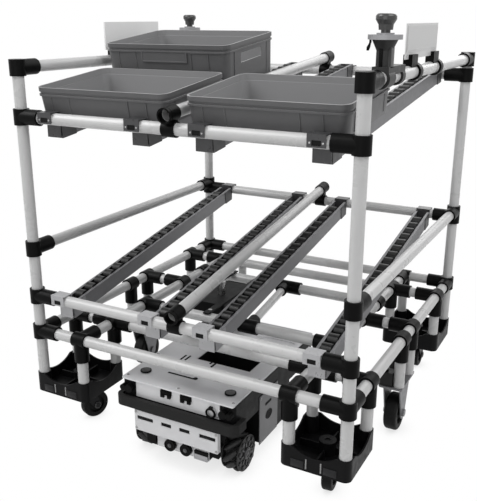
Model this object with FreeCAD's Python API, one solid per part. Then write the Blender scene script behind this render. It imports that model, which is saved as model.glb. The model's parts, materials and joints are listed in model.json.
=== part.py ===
import FreeCAD, Part
import math
import os

# Autonomous mobile robot coupled under a wheeled flow rack built from round pipe.
# Millimetres. +Z up, floor at Z = 0, X across the rack, -Y is the loading side.

V = FreeCAD.Vector

# Pipe system
pipe_d = 28.0
pipe_wall = 1.2
pipe_fit = 0.15
sleeve_wall = 5.0
arm_len = 58.0
short_arm = 26.0
arm_step = 0.3
bore_step = 0.05
seat_gap = 0.3

# Rack frame, measured axis to axis
rack_w = 850.0
rack_d = 868.0
base_rail_z = 280.0
side_rail_z = 505.0
top_rail_z = 948.0
lower_front_z = 378.0
lower_rear_z = 491.0
upper_front_drop = 114.0
upper_rear_drop = 43.0

# Corner bases and their swivel casters
leg_pitch = 134.0
base_bottom_z = 110.0
base_top_z = 162.0
base_wall = 4.0
socket_wall = 2.5
saddle_depth = 17.0
base_floor_t = 7.0
hub_d = 40.0
hub_drop = 12.0
stem_d = 12.0
run_fit = 0.05
caster_wheel_d = 75.0
caster_wheel_w = 25.0
caster_trail = 34.0
# Swivel of each caster in the stored pose, degrees from straight back
caster_turn = {"front_left": -20.0, "front_right": 5.0, "rear_left": 0.0, "rear_right": 0.0}
caster_axle_d = 8.0
caster_gap = 2.2
fork_t = 2.5
race_d = 50.0
race_h = 12.0
crown_back = 22.0
crown_front = 24.0
cheek_r = 11.0
cheek_drop = 6.0
nut_t = 4.0
nut_r = 7.0

# Fixed casters half way along each side
mid_leg_pitch = 86.0
mid_wheel_d = 100.0
mid_wheel_w = 34.0
mid_inset = 18.0
mid_plate_t = 5.0
mid_plate_w = 62.0
mid_plate_l = 124.0
mid_plate_z = 143.0
mid_axle_d = 12.0
mid_gap = 3.0
mid_fork_t = 3.0
mid_cheek_top = 44.0
mid_cheek_low = 17.0
mid_cheek_drop = 6.0
mid_clamp_half = 15.0
mid_clamp_h = 38.0
mid_stud_h = 6.0
mid_stud_r = 8.0
mid_nut_r = 10.0
mid_nut_t = 5.0
mid_corner = 6.0

# Cross bars inside the base frame
front_bar_y = -155.0
rear_bar_y = 165.0
tie_front_x = 44.0
tie_rear_x = 2.0
tie_d = 22.0
tie_neck = 46.0
tie_sleeve = 26.0
tie_collar_l = 23.0

# Roller tracks: X at the front rail and X at the rear rail
upper_tracks = [(-340.0, -340.0), (-92.0, -92.0), (73.0, 73.0), (340.0, 340.0)]
lower_tracks = [(-345.0, -345.0), (-78.0, -78.0), (73.0, 73.0), (345.0, 338.0)]
track_w = 38.0
track_h = 40.0
track_wall = 2.0
track_lip = 2.0
track_inner_lip = 3.0
# How far the tracks' undersides lie below the rails, at the front and the rear
upper_drop = (45.0, 19.0)
lower_drop = (51.0, 30.0)
roller_d = 32.0
roller_w = 24.0
roller_pitch = 40.0
roller_axle_r = 4.0
roller_proud = 5.0
bracket_t = 2.0
bracket_w = 40.0
bracket_lip = 26.0
cap_t = 1.6
front_cap_l = 50.0
rear_cap_l = 40.0

# Lane guide pipes, standing above the front and rear rails
guide_rise_front = 32.0
guide_rise_rear = 37.0
guide_over_front = 10.0
guide_over_rear = 24.0
guide_wall = 3.5
guide_cap_l = 9.0
seam_w = 1.5
seam_h = 1.5

# Totes
tote_l = 369.0
tote_w = 264.0
tote_wall = 3.0
tote_rim_h = 10.0
tote_band_h = 4.0
tote_band_z = 16.0
tote_rim_out = 2.0
tote_taper = 5.0
tote_lip_wall = 2.2
tote_ledge = 3.0
tote_ledge_z = 15.0
rib_w = 3.0
rib_out = 1.6
rib_x = (-0.385, -0.24, 0.215, 0.35)
rib_y = (-0.34, 0.34)
label_l = 138.0
label_h = 28.0
label_drop = 16.0
label_border = 3.0
grip_l = 112.0
grip_h = 24.0
grip_drop = 18.0
tote_corner = 22.0
shallow_h = 69.0
deep_h = 129.0
tote_front_gap = 6.0
left_lane_shift = 10.5
right_lane_shift = 2.0

# Emergency stops and sign plates on the top side rails
stop_y_right = -331.0
stop_y_left = 326.0
stop_body_d = 31.0
stop_dome_d = 50.0
stop_dome_h = 20.0
stop_foot = 20.0
stop_foot_w = 34.0
stop_neck_d = 34.0
stop_neck_h = 3.0
stop_stem_d = 18.0
stop_flange_d = 66.0
stop_flange_t = 9.0
stop_stand = 72.0
stop_head_d = 40.0
stop_head_h = 30.0
stop_travel = 5.0
stop_ring_gap = 72.0
stop_ring_w = 18.0
plate_l = 252.0
plate_h = 72.0
plate_t = 3.0
plate_stand = 28.0
label_rise = 0.6
label_foot = 14.0
label_edge = 3.0
clip_grip = 9.0
plate_mid_right = -64.0
plate_mid_left = 22.0
clip_pitch = 181.0
clip_back = 14.0
clip_front = 30.0
clip_ring_l = 18.0
clip_half = 10.0

# Robot
deck_w = 314.0
deck_front_y = -447.0
deck_rear_y = 16.0
deck_z = 217.0
deck_t = 4.0
window_x = (-44.0, 110.0)
window_y = (-276.0, -196.0)
well_wall = 3.0
well_rise = 20.0
recess_x = (59.0, 128.0)
recess_y = -85.0
recess_r = 18.0
recess_depth = 2.0
pad_r = 14.0
pad_t = 3.0
pad_inset = 36.0
pad_front_y = -394.0
pad_rear_inset = 17.0
pad_rear_y = -84.0
body_side = 1.0
body_corner = 10.0
body_t = 2.0
fender_z = 145.0
tray_w = 176.0
tray_z = 28.0
skirt_z = 46.0
nose_z = 50.0
nose_l = 46.0
body_front_y = -442.0
mid_body_front_y = -308.0
mid_body_rear_y = -140.0
panel_w = 236.0
panel_x = 2.0
panel_z0 = 86.0
panel_z1 = 141.0
low_panel_x = 16.0
low_panel_w = 148.0
vent_x = [(-108.0, -62.0), (-38.0, -9.0), (14.0, 43.0), (70.0, 114.0)]
vent_z = 117.0
vent_h = 10.0
port_x = (-28.0, 28.0)
port_half = 16.0
port_h = 15.0
side_panel_over = 9.0
side_panel_l = 101.0
side_panel_top_z = 178.0
knobs = [(26.0, 10.0), (9.0, 8.0)]
knob_z = 193.0
knob_l = 14.0
sensor_x = (-17.0, 28.0)
sensor_z = 67.0
sensor_r = 15.5
sensor_l = 8.0
plug_x = (52.0, 88.0)
plug_h = 22.0
plug_l = 6.0
block_x = (-86.0, -60.0)
block_rise = 8.0
eye_x = 98.0
eye_r = 11.0
eye_d = 5.0
panel_y = -455.0
bumper_z0 = 145.5
bumper_z1 = 171.5
bumper_t = 12.0
bumper_side_gap = 1.0
bumper_back = 52.0
guide_x = 60.0
guide_r = 4.0
mec_d = 96.0
mec_w = 48.0
mec_x = 126.0
mec_front_y = -365.0
mec_rear_y = -86.0
mec_rollers = 9
mec_roller_d = 17.0
mec_pin_d = 4.0
shaft_r = 6.0
shaft_in = 14.0
motor_r = 18.0
motor_mid = 14.0
battery_size = (150.0, 100.0, 70.0)
battery_y = -225.0
controller_size = (120.0, 50.0, 26.0)
controller_y = -312.0

# Docking latch carried by the two cross bars
dock_x = -130.0
dock_w = 118.0
dock_l = 180.0
dock_y = 0.0
dock_h = 54.0
dock_bottom_z = 240.0
dock_pin_d = 22.0
dock_pin_x = -120.0
dock_pin_y = -14.0
dock_pin_top_z = 334.0
dock_clear = 0.5
dock_hole_gap = 0.35
dock_tip_chamfer = 0.3
strap_w = 18.0
strap_t = 4.0

pipe_r = pipe_d / 2
sleeve_r = pipe_r + pipe_fit + sleeve_wall
post_x = rack_w / 2
post_y = rack_d / 2
leg_x = post_x - leg_pitch
leg_y = post_y - leg_pitch
base_x = post_x - leg_pitch / 2
base_y = post_y - leg_pitch / 2
upper_front_z = top_rail_z - upper_front_drop
upper_rear_z = top_rail_z - upper_rear_drop
stop_flange_z = top_rail_z + stop_stand
plate_bottom_z = top_rail_z + plate_stand
body_w = deck_w + 2 * body_side
bumper_half = body_w / 2 + bumper_side_gap + bumper_t
body_rear_y = deck_rear_y - 4.0

os.makedirs("parts", exist_ok=True)


def save(node, solids):
    flat = []
    for s in solids:
        flat.extend(s.Solids)
    Part.makeCompound(flat).exportStep("parts/" + node + ".step")


def rod(a, b, r):
    a, b = V(*a), V(*b)
    d = b - a
    return Part.makeCylinder(r, d.Length, a, d)


def pipe(a, b, d=pipe_d):
    return rod(a, b, d / 2).cut(rod(a, b, d / 2 - pipe_wall))


def box(x0, x1, y0, y1, z0, z1):
    return Part.makeBox(x1 - x0, y1 - y0, z1 - z0, V(x0, y0, z0))


def fuse(shapes):
    first, rest = shapes[0], shapes[1:]
    return first.multiFuse(rest).removeSplitter() if rest else first


def prism(points, direction):
    wire = Part.makePolygon([V(*p) for p in points + [points[0]]])
    return Part.Face(wire).extrude(V(*direction))


def round_rect(lx, ly, r, z, cx=0.0, cy=0.0):
    hx, hy = lx / 2, ly / 2
    k = r * (1 - math.sqrt(0.5))
    edges = []
    corners = [(1, 1), (-1, 1), (-1, -1), (1, -1)]
    pts = []
    for sx, sy in corners:
        flat_x = V(cx + sx * (hx - r), cy + sy * hy, z)
        flat_y = V(cx + sx * hx, cy + sy * (hy - r), z)
        mid = V(cx + sx * (hx - k), cy + sy * (hy - k), z)
        pts.append((flat_y, mid, flat_x) if sx * sy > 0 else (flat_x, mid, flat_y))
    for i in range(4):
        a, m, b = pts[i]
        edges.append(Part.Arc(a, m, b).toShape())
        edges.append(Part.LineSegment(b, pts[(i + 1) % 4][0]).toShape())
    return Part.Wire(edges)


def round_block(lx, ly, r, z0, z1, cx=0.0, cy=0.0):
    return Part.Face(round_rect(lx, ly, r, z0, cx, cy)).extrude(V(0, 0, z1 - z0))


def mirror_x(shape):
    return shape.mirror(V(0, 0, 0), V(1, 0, 0))


def mirror_y(shape):
    return shape.mirror(V(0, 0, 0), V(0, 1, 0))


def four_corners(shape):
    left = mirror_x(shape)
    return [shape, left, mirror_y(shape), mirror_y(left)]


# A moulded pipe joint: one through sleeve or cap, and an arm for each pipe that ends in it.
axes = {"x": V(1, 0, 0), "y": V(0, 1, 0), "z": V(0, 0, 1)}


def arm(c, d, length):
    return Part.makeCylinder(sleeve_r - arm_step, length, c, d)


def joint(c, through, arms, half=sleeve_r):
    c = V(*c)
    t = axes[through]
    body = [Part.makeCylinder(sleeve_r, 2 * half, c - t * half, t)]
    bores = [Part.makeCylinder(pipe_r + pipe_fit, 2 * half + 2, c - t * (half + 1), t)]
    for d, length in arms:
        d = V(*d)
        body.append(arm(c, d, length))
        bores.append(Part.makeCylinder(pipe_r + pipe_fit - bore_step, length, c + d, d))
    return fuse(body).cut(fuse(bores))


def posts():
    start = base_bottom_z + base_floor_t + seat_gap
    end = top_rail_z + sleeve_r - sleeve_wall
    return four_corners(pipe((post_x, post_y, start), (post_x, post_y, end)))


# Pipes that end at a post or at a crossing pipe stop short of its wall, inside the arm.
stub = pipe_r + 2.0


def tie_line():
    a = V(tie_front_x, front_bar_y, base_rail_z)
    b = V(tie_rear_x, rear_bar_y, base_rail_z)
    return a, b, (b - a).normalize()


def base_pipes():
    z = base_rail_z
    out = []
    for s in (-1, 1):
        out.append(pipe((-post_x + stub, s * post_y, z), (post_x - stub, s * post_y, z)))
        out.append(pipe((s * post_x, -post_y + stub, z), (s * post_x, post_y - stub, z)))
        out.append(pipe((s * leg_x, -leg_y + stub, z), (s * leg_x, leg_y - stub, z)))
        out.append(pipe((-leg_x + stub, s * leg_y, z), (leg_x - stub, s * leg_y, z)))
        link = pipe((post_x - stub, s * leg_y, z), (leg_x + stub, s * leg_y, z))
        out += [link, mirror_x(link)]
        link = pipe((leg_x, s * (post_y - stub), z), (leg_x, s * (leg_y + stub), z))
        out += [link, mirror_x(link)]
    link = pipe((post_x - stub, mid_leg_pitch / 2, z), (leg_x + stub, mid_leg_pitch / 2, z))
    out += [link, mirror_x(link)]
    for y in (front_bar_y, rear_bar_y):
        out.append(pipe((-leg_x + stub, y, z), (leg_x - stub, y, z)))
    a, b, d = tie_line()
    out.append(pipe(a + d * stub, b - d * stub, tie_d))
    return out


def leg_pipes():
    low = base_bottom_z + base_floor_t + seat_gap
    high = base_rail_z - stub
    out = []
    for x, y in ((leg_x, post_y), (post_x, leg_y), (leg_x, leg_y)):
        out += four_corners(pipe((x, y, low), (x, y, high)))
    low = mid_plate_z + mid_plate_t
    for s in (-1, 1):
        leg = pipe((post_x, s * mid_leg_pitch / 2, low), (post_x, s * mid_leg_pitch / 2, high))
        out += [leg, mirror_x(leg)]
    return out


def deck_pipes():
    out = []
    for y, zs in ((-post_y, (lower_front_z, upper_front_z)), (post_y, (lower_rear_z, upper_rear_z))):
        for z in zs:
            out.append(pipe((-post_x + stub, y, z), (post_x - stub, y, z)))
    return out


def side_pipes():
    out = []
    for z in (side_rail_z, top_rail_z):
        p = pipe((post_x, -post_y + stub, z), (post_x, post_y - stub, z))
        out += [p, mirror_x(p)]
    return out


# A rear rail meets its post right below the side rail, so one longer sleeve carries both.
def rear_post_joint():
    x = post_x
    low, high = lower_rear_z, side_rail_z
    reach = arm_len
    bore = pipe_r + pipe_fit
    sleeve = rod((x, post_y, low - sleeve_r), (x, post_y, high + sleeve_r), sleeve_r)
    arms = [rod((x, post_y, low), (x - reach, post_y, low), sleeve_r - arm_step),
            rod((x, post_y, high), (x, post_y - reach, high), sleeve_r - arm_step)]
    bores = [rod((x, post_y, low - 2 * sleeve_r), (x, post_y, high + 2 * sleeve_r), bore),
             rod((x, post_y, low), (x - reach, post_y, low), bore - bore_step),
             rod((x, post_y, high), (x, post_y - reach, high), bore - bore_step)]
    return fuse([sleeve] + arms).cut(fuse(bores))


def post_joints():
    x = post_x
    to_x = (-1, 0, 0)
    out = [joint((x, -post_y, z), "z", [(to_x, arm_len)]) for z in (lower_front_z, upper_front_z)]
    out.append(joint((x, -post_y, side_rail_z), "z", [((0, 1, 0), arm_len)]))
    out.append(joint((x, post_y, upper_rear_z), "z", [(to_x, arm_len)]))
    out.append(rear_post_joint())
    return out + [mirror_x(s) for s in out]


def top_joints():
    out = []
    for sx in (-1, 1):
        for sy in (-1, 1):
            c = (sx * post_x, sy * post_y, top_rail_z)
            elbow = joint(c, "z", [((0, -sy, 0), arm_len)])
            lid = Part.makeCylinder(sleeve_r, sleeve_wall, V(c[0], c[1], c[2] + sleeve_r - sleeve_wall))
            out.append(fuse([elbow, lid]))
    return out


def base_joints():
    z = base_rail_z
    down = (0, 0, -1)
    corner = joint((post_x, post_y, z), "z", [((-1, 0, 0), arm_len), ((0, -1, 0), arm_len)])
    on_x = joint((leg_x, post_y, z), "x", [((0, -1, 0), arm_len), (down, arm_len)])
    on_y = joint((post_x, leg_y, z), "y", [((-1, 0, 0), arm_len), (down, arm_len)])
    inner = joint((leg_x, leg_y, z), "y",
                  [((1, 0, 0), arm_len), ((-1, 0, 0), arm_len), (down, arm_len)], short_arm)
    out = []
    for s in (corner, on_x, on_y, inner):
        out += four_corners(s)
    for sy in (-1, 1):
        arms = [(down, arm_len)]
        if sy > 0:
            arms.append(((-1, 0, 0), arm_len))
        t = joint((post_x, sy * mid_leg_pitch / 2, z), "y", arms)
        out += [t, mirror_x(t)]
    t = joint((leg_x, mid_leg_pitch / 2, z), "y", [((1, 0, 0), arm_len)])
    out += [t, mirror_x(t)]
    for y in (front_bar_y, rear_bar_y):
        t = joint((leg_x, y, z), "y", [((-1, 0, 0), arm_len)])
        out += [t, mirror_x(t)]
    return out


def tie_joints():
    z = base_rail_z
    a, b, d = tie_line()
    bore = pipe_r + pipe_fit
    out = []
    for c, way in ((a, d), (b, d * -1)):
        sleeve = rod((c.x - tie_sleeve, c.y, z), (c.x + tie_sleeve, c.y, z), sleeve_r)
        neck = rod(c, c + way * tie_neck, tie_d / 2 + sleeve_wall)
        rail = rod((c.x - 2 * tie_sleeve, c.y, z), (c.x + 2 * tie_sleeve, c.y, z), bore)
        tie_bore = rod(c, c + way * 2 * tie_neck, tie_d / 2 + pipe_fit)
        out.append(fuse([sleeve, neck]).cut(fuse([rail, tie_bore])))
    x = b.x + tie_sleeve + seat_gap
    collar = rod((x, b.y, z), (x + tie_collar_l, b.y, z), sleeve_r)
    out.append(collar.cut(rod((x - 1, b.y, z), (x + tie_collar_l + 1, b.y, z), bore)))
    return out


# Corner base: a rounded box open above, four pipe sockets and a central caster hub.
def corner_base(cx, cy):
    socket_r = pipe_r + pipe_fit + socket_wall
    side = leg_pitch + 2 * socket_r
    outer = round_block(side, side, socket_r, base_bottom_z, base_top_z, cx, cy)
    inner = round_block(side - 2 * base_wall, side - 2 * base_wall, socket_r - base_wall,
                        base_bottom_z + base_floor_t, base_top_z + 1, cx, cy)
    shell = outer.cut(inner)
    span = leg_pitch - 2 * socket_r
    rise = saddle_depth
    saddle_r = (span * span / 4 + rise * rise) / (2 * rise)
    zc = base_top_z + saddle_r - rise
    saddles = [rod((cx - side, cy, zc), (cx + side, cy, zc), saddle_r),
               rod((cx, cy - side, zc), (cx, cy + side, zc), saddle_r)]
    shell = shell.cut(fuse(saddles))
    h = leg_pitch / 2
    seats = []
    bores = []
    for sx in (-1, 1):
        for sy in (-1, 1):
            p = (cx + sx * h, cy + sy * h)
            seats.append(rod((*p, base_bottom_z), (*p, base_top_z), socket_r))
            bores.append(rod((*p, base_bottom_z + base_floor_t), (*p, base_top_z + 1), pipe_r + pipe_fit))
    web_top = base_bottom_z + base_floor_t + 18
    webs = [box(cx - h, cx + h, cy - base_wall / 2, cy + base_wall / 2, base_bottom_z, web_top),
            box(cx - base_wall / 2, cx + base_wall / 2, cy - h, cy + h, base_bottom_z, web_top)]
    hub = rod((cx, cy, base_bottom_z), (cx, cy, base_top_z - hub_drop), hub_d / 2)
    stem = rod((cx, cy, base_bottom_z - 1), (cx, cy, base_top_z), stem_d / 2 + run_fit)
    body = fuse([shell, hub] + seats + webs)
    return body.cut(fuse(bores + [stem]))


def turned(shape, cx, cy, angle):
    s = shape.copy()
    s.rotate(V(cx, cy, 0), V(0, 0, 1), angle)
    return s


# Swivel fork: raceway disc, kingpin stem, two tapered cheeks and the axle.
def caster_fork(cx, cy):
    r = caster_wheel_d / 2
    half = caster_wheel_w / 2 + caster_gap
    top = base_bottom_z - seat_gap
    crown_z = top - race_h
    ay = cy + caster_trail
    y0, y1 = cy - crown_back, cy + crown_front
    race = rod((cx, cy, crown_z), (cx, cy, top), race_d / 2)
    stem = rod((cx, cy, crown_z), (cx, cy, base_top_z - hub_drop - fork_t), stem_d / 2)
    crown = box(cx - half - fork_t, cx + half + fork_t, y0, y1, crown_z - fork_t, crown_z)
    cheeks = []
    for s in (-1, 1):
        x0 = cx + (half if s > 0 else -half - fork_t)
        outline = [(y0, crown_z), (y1, crown_z), (ay + cheek_r, r), (ay - cheek_r + fork_t, r - cheek_drop)]
        cheeks.append(prism([(x0, y, z) for y, z in outline], (fork_t, 0, 0)))
        cheeks.append(rod((x0, ay, r), (x0 + fork_t, ay, r), cheek_r))
        a = cx + s * (half + fork_t)
        cheeks.append(rod((a, ay, r), (a + s * nut_t, ay, r), nut_r))
    reach = half + fork_t + nut_t / 2
    axle = rod((cx - reach, ay, r), (cx + reach, ay, r), caster_axle_d / 2)
    return fuse([race, stem, crown, axle] + cheeks)


# Wheel with its axle along X: a rounded tread on a dished hub.
def wheel(cx, cy, d, w, bore, shoulder):
    r = d / 2
    tread_in = r * 0.72
    h = w / 2
    p = [(cx - h, cy, r + tread_in), (cx - h, cy, r + r - shoulder), (cx - h + shoulder, cy, r + r),
         (cx + h - shoulder, cy, r + r), (cx + h, cy, r + r - shoulder), (cx + h, cy, r + tread_in)]
    k = shoulder * (1 - math.sqrt(0.5))
    left = Part.Arc(V(*p[1]), V(cx - h + k, cy, 2 * r - k), V(*p[2])).toShape()
    right = Part.Arc(V(*p[3]), V(cx + h - k, cy, 2 * r - k), V(*p[4])).toShape()
    lines = [(0, 1), (2, 3), (4, 5), (5, 0)]
    edges = [Part.LineSegment(V(*p[a]), V(*p[b])).toShape() for a, b in lines] + [left, right]
    face = Part.Face(Part.Wire(Part.__sortEdges__(edges)))
    tyre = face.revolve(V(cx, cy, r), V(1, 0, 0), 360)
    hub = rod((cx - h, cy, r), (cx + h, cy, r), tread_in)
    dish = h * 0.45
    for s in (-1, 1):
        a = cx + s * h
        ring = rod((a, cy, r), (a - s * dish, cy, r), tread_in - 4)
        boss = rod((a, cy, r), (a - s * dish, cy, r), bore / 2 + 5)
        hub = hub.cut(ring.cut(boss))
    hole = rod((cx - w, cy, r), (cx + w, cy, r), bore / 2 + run_fit)
    return [tyre, hub.cut(hole)]


# Fixed caster bracket under the two middle legs: plate, clamp block and tapered cheeks.
def mid_bracket():
    cx = post_x - mid_inset
    half = mid_wheel_w / 2 + mid_gap
    r = mid_wheel_d / 2
    x0, x1 = cx - mid_plate_w / 2, cx + mid_plate_w / 2
    top = mid_plate_z + mid_plate_t
    plate = round_block(mid_plate_w, mid_plate_l, mid_corner, mid_plate_z, top, cx, 0)
    solids = [plate]
    for s in (-1, 1):
        a = cx + (half if s > 0 else -half - mid_fork_t)
        low = r - mid_cheek_drop
        side = prism([(a, -mid_cheek_top, mid_plate_z), (a, mid_cheek_top, mid_plate_z),
                      (a, mid_cheek_low, low), (a, -mid_cheek_low, low)], (mid_fork_t, 0, 0))
        boss = rod((a, 0, r), (a + mid_fork_t, 0, r), mid_cheek_low)
        solids += [side, boss]
    reach = half + mid_fork_t + mid_nut_t
    solids.append(rod((cx - reach, 0, r), (cx + reach, 0, r), mid_axle_d / 2))
    for s in (-1, 1):
        a = cx + s * (half + mid_fork_t)
        solids.append(rod((a, 0, r), (a + s * mid_nut_t, 0, r), mid_nut_r))
    clamp_x = post_x - pipe_r - pipe_fit
    y = mid_leg_pitch / 2
    high = top + mid_clamp_h
    stud_x = x0 + mid_plate_w / 5
    for s in (-1, 1):
        solids.append(box(x0, clamp_x, s * y - mid_clamp_half, s * y + mid_clamp_half, top, high))
        solids.append(rod((stud_x, s * y, high), (stud_x, s * y, high + mid_stud_h), mid_stud_r))
    return fuse(solids)


# A track runs between the hooks on two rails; its square front end leans towards the rail.
def track_frame(x_pair, z_front, z_rear, drop):
    reach = post_y - pipe_r - bracket_t - 2.5 * seat_gap
    z0 = z_front - drop[0]
    z1 = z_rear - drop[1]
    lean = (track_h + seat_gap) * (z1 - z0) / (2 * reach)
    return V(x_pair[0], lean - reach, z0), V(x_pair[1], reach - seat_gap, z1)


def lay_along(shape, a, b):
    d = b - a
    flat = math.hypot(d.x, d.y)
    s = shape.copy()
    s.rotate(V(0, 0, 0), V(1, 0, 0), math.degrees(math.atan2(d.z, flat)))
    s.rotate(V(0, 0, 0), V(0, 0, 1), -math.degrees(math.atan2(d.x, d.y)))
    s.translate(a)
    return s


def track_channel(length):
    h = track_w / 2
    outer = box(-h, h, 0, length, 0, track_h)
    inner = box(-h + track_wall, h - track_wall, -1, length + 1, track_wall, track_h + 1)
    low = track_h - track_lip
    reach = track_wall + track_inner_lip
    lips = [box(-h - track_lip, -h + reach, 0, length, low, track_h),
            box(h - reach, h + track_lip, 0, length, low, track_h)]
    return fuse([outer.cut(inner)] + lips)


def track_rollers(length):
    r = roller_d / 2
    z = track_h + roller_proud - r
    count = int((length - roller_pitch) // roller_pitch)
    start = (length - (count - 1) * roller_pitch) / 2
    axle = track_w / 2 - track_wall
    out = []
    for i in range(count):
        y = start + i * roller_pitch
        wheel_body = rod((-roller_w / 2, y, z), (roller_w / 2, y, z), r)
        out.append(fuse([wheel_body, rod((-axle, y, z), (axle, y, z), roller_axle_r)]))
    return out


def track_caps(length):
    h = track_w / 2 + seat_gap / 3
    out = []
    for y0, y1 in ((0, front_cap_l), (length - rear_cap_l, length)):
        outer = box(-h - cap_t, h + cap_t, y0, y1, -cap_t - seat_gap / 3, track_h - track_wall - seat_gap)
        inner = box(-h, h, y0 - 1, y1 + 1, -seat_gap / 3, track_h)
        out.append(outer.cut(inner))
    return out


# Steel hook over a rail: lip in front, strap on top, plate down to the track's end.
def track_bracket(x, y, z, way, drop, rise):
    top = pipe_r + seat_gap
    t = bracket_t
    near = y + way * (pipe_r + seat_gap)
    far = y - way * (pipe_r + seat_gap)
    lip_low = z + top + t - bracket_lip
    h = bracket_w / 2

    def slab(ya, yb, za, zb):
        return box(x - h, x + h, min(ya, yb), max(ya, yb), za, zb)

    lip = slab(far, far - way * t, lip_low, z + top + t)
    window = box(x - h / 2, x + h / 2, min(far, far - way * t) - 1, max(far, far - way * t) + 1,
                 lip_low + 3, lip_low + 14)
    strap = slab(far - way * t, near + way * t, z + top, z + top + t)
    plate = slab(near, near + way * t, z - drop, z + max(top + t, rise))
    return fuse([lip.cut(window), strap, plate])


def tracks():
    sets = {"upper": (upper_tracks, upper_front_z, upper_rear_z, upper_drop),
            "lower": (lower_tracks, lower_front_z, lower_rear_z, lower_drop)}
    brackets = []
    caps = []
    for deck in sets:
        pairs, zf, zr, drop = sets[deck]
        for lane, name in ((0, "left"), (2, "right")):
            channels = []
            rollers = []
            for pair in pairs[lane:lane + 2]:
                a, b = track_frame(pair, zf, zr, drop)
                length = (b - a).Length
                channels.append(lay_along(track_channel(length), a, b))
                rollers += [lay_along(s, a, b) for s in track_rollers(length)]
                caps += [lay_along(s, a, b) for s in track_caps(length)]
                brackets.append(track_bracket(pair[0], -post_y, zf, 1, drop[0], 0))
                brackets.append(track_bracket(pair[1], post_y, zr, -1, drop[1], track_h - drop[1]))
            save(deck + "_" + name + "_channels", channels)
            save(deck + "_" + name + "_rollers", rollers)
    save("track_brackets", brackets)
    save("track_end_caps", caps)


def guide_line(z_front, z_rear):
    a = V(0, -post_y, z_front + guide_rise_front)
    b = V(0, post_y, z_rear + guide_rise_rear)
    return a, b, (b - a).normalize()


def guide_pipes():
    out = []
    for zf, zr in ((lower_front_z, lower_rear_z), (upper_front_z, upper_rear_z)):
        a, b, d = guide_line(zf, zr)
        out.append(pipe(a - d * guide_over_front, b + d * guide_over_rear))
    return out


# Crossed double sleeve that stands a guide pipe above a rail, with a moulded seam by its mouth.
def guide_joints():
    out = []
    r = pipe_r + pipe_fit + guide_wall
    half = r - seam_h
    for zf, zr in ((lower_front_z, lower_rear_z), (upper_front_z, upper_rear_z)):
        a, b, d = guide_line(zf, zr)
        for c, z, way in ((a, zf, d * -1), (b, zr, d)):
            low = rod((-half, c.y, z), (half, c.y, z), r)
            high = Part.makeCylinder(r, 2 * half + guide_cap_l, c - way * half, way)
            neck = box(-r * 0.6, r * 0.6, c.y - half * 0.8, c.y + half * 0.8, z, c.z)
            low_bore = rod((-2 * r, c.y, z), (2 * r, c.y, z), pipe_r + pipe_fit)
            high_bore = Part.makeCylinder(pipe_r + pipe_fit, 4 * r, c - way * 2 * r, way)
            groove = Part.makeCylinder(r + 1, seam_w, c + way * half, way)
            groove = groove.cut(Part.makeCylinder(r - seam_h, seam_w, c + way * half, way))
            out.append(fuse([low, high, neck]).cut(fuse([low_bore, high_bore])).cut(groove))
    return out


# Open tote, its floor resting at Z = 0 in its own frame before it is tilted.
def tote_wall_at(half, z, height):
    return half - tote_rim_out - tote_taper * (1 - z / height)


def tote_ribs(height):
    low, high = height * 0.12, height - tote_band_z
    out = []
    for half, span, places in ((tote_w / 2, tote_l, rib_x), (tote_l / 2, tote_w, rib_y)):
        a, b = tote_wall_at(half, low, height), tote_wall_at(half, high, height)
        for k in places:
            c = k * span - rib_w / 2
            outline = [(a - 1, low), (a + rib_out, low), (b + rib_out, high), (b - 1, high)]
            if span == tote_l:
                rib = prism([(c, u, z) for u, z in outline], (rib_w, 0, 0))
                out += [rib, mirror_y(rib)]
            else:
                rib = prism([(u, c, z) for u, z in outline], (0, rib_w, 0))
                out += [rib, mirror_x(rib)]
    return out


def tote(height, handles, label):
    top_l = tote_l - 2 * tote_rim_out
    top_w = tote_w - 2 * tote_rim_out
    low_l = top_l - 2 * tote_taper
    low_w = top_w - 2 * tote_taper
    t = tote_wall
    k = tote_lip_wall + tote_ledge
    low_r = tote_corner - 4
    ledge_z = height - tote_ledge_z
    outer = Part.makeLoft([round_rect(low_l, low_w, low_r, 0),
                           round_rect(top_l, top_w, tote_corner, height - tote_rim_h / 2)], True)
    rim = round_block(tote_l, tote_w, tote_corner + 1, height - tote_rim_h, height)
    band_z = height - tote_band_z
    band = round_block(tote_l, tote_w, tote_corner + 1, band_z - tote_band_h, band_z)
    body = fuse([outer, rim, band] + tote_ribs(height))
    if label:
        face = tote_w / 2
        z1 = height - label_drop
        z0 = z1 - label_h
        frame = box(-label_l / 2, label_l / 2, -face, 4 * t - face, z0, z1)
        slot = box(label_border - label_l / 2, label_l / 2 - label_border, -face - 1, -face + t / 2,
                   z0 + label_border, z1 - label_border)
        body = fuse([body, frame]).cut(slot)
    cavity = Part.makeLoft([round_rect(low_l - 2 * t, low_w - 2 * t, low_r - t, t),
                            round_rect(top_l - 2 * k, top_w - 2 * k, tote_corner - k, ledge_z)], True)
    mouth = round_block(top_l - 2 * tote_lip_wall, top_w - 2 * tote_lip_wall,
                        tote_corner - tote_lip_wall, ledge_z, height + 1)
    body = body.cut(fuse([cavity, mouth]))
    if handles:
        z1 = height - tote_rim_h - grip_drop
        for s in (-1, 1):
            x0 = s * (low_l / 2 - 3 * t)
            x1 = s * (tote_l / 2 + t)
            body = body.cut(box(min(x0, x1), max(x0, x1), -grip_l / 2, grip_l / 2, z1 - grip_h, z1))
    return body


def deck_point(y):
    a, b = track_frame((0.0, 0.0), upper_front_z, upper_rear_z, upper_drop)
    slope = (b.z - a.z) / (b.y - a.y)
    lift = (track_h + roller_proud) / math.cos(math.atan(slope))
    return a.z + (y - a.y) * slope + lift, math.degrees(math.atan(slope))


def place_tote(shape, x, y):
    z, tilt = deck_point(y)
    s = shape.copy()
    s.rotate(V(0, 0, 0), V(1, 0, 0), tilt)
    s.translate(V(x, y, z + seat_gap))
    return s


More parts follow.
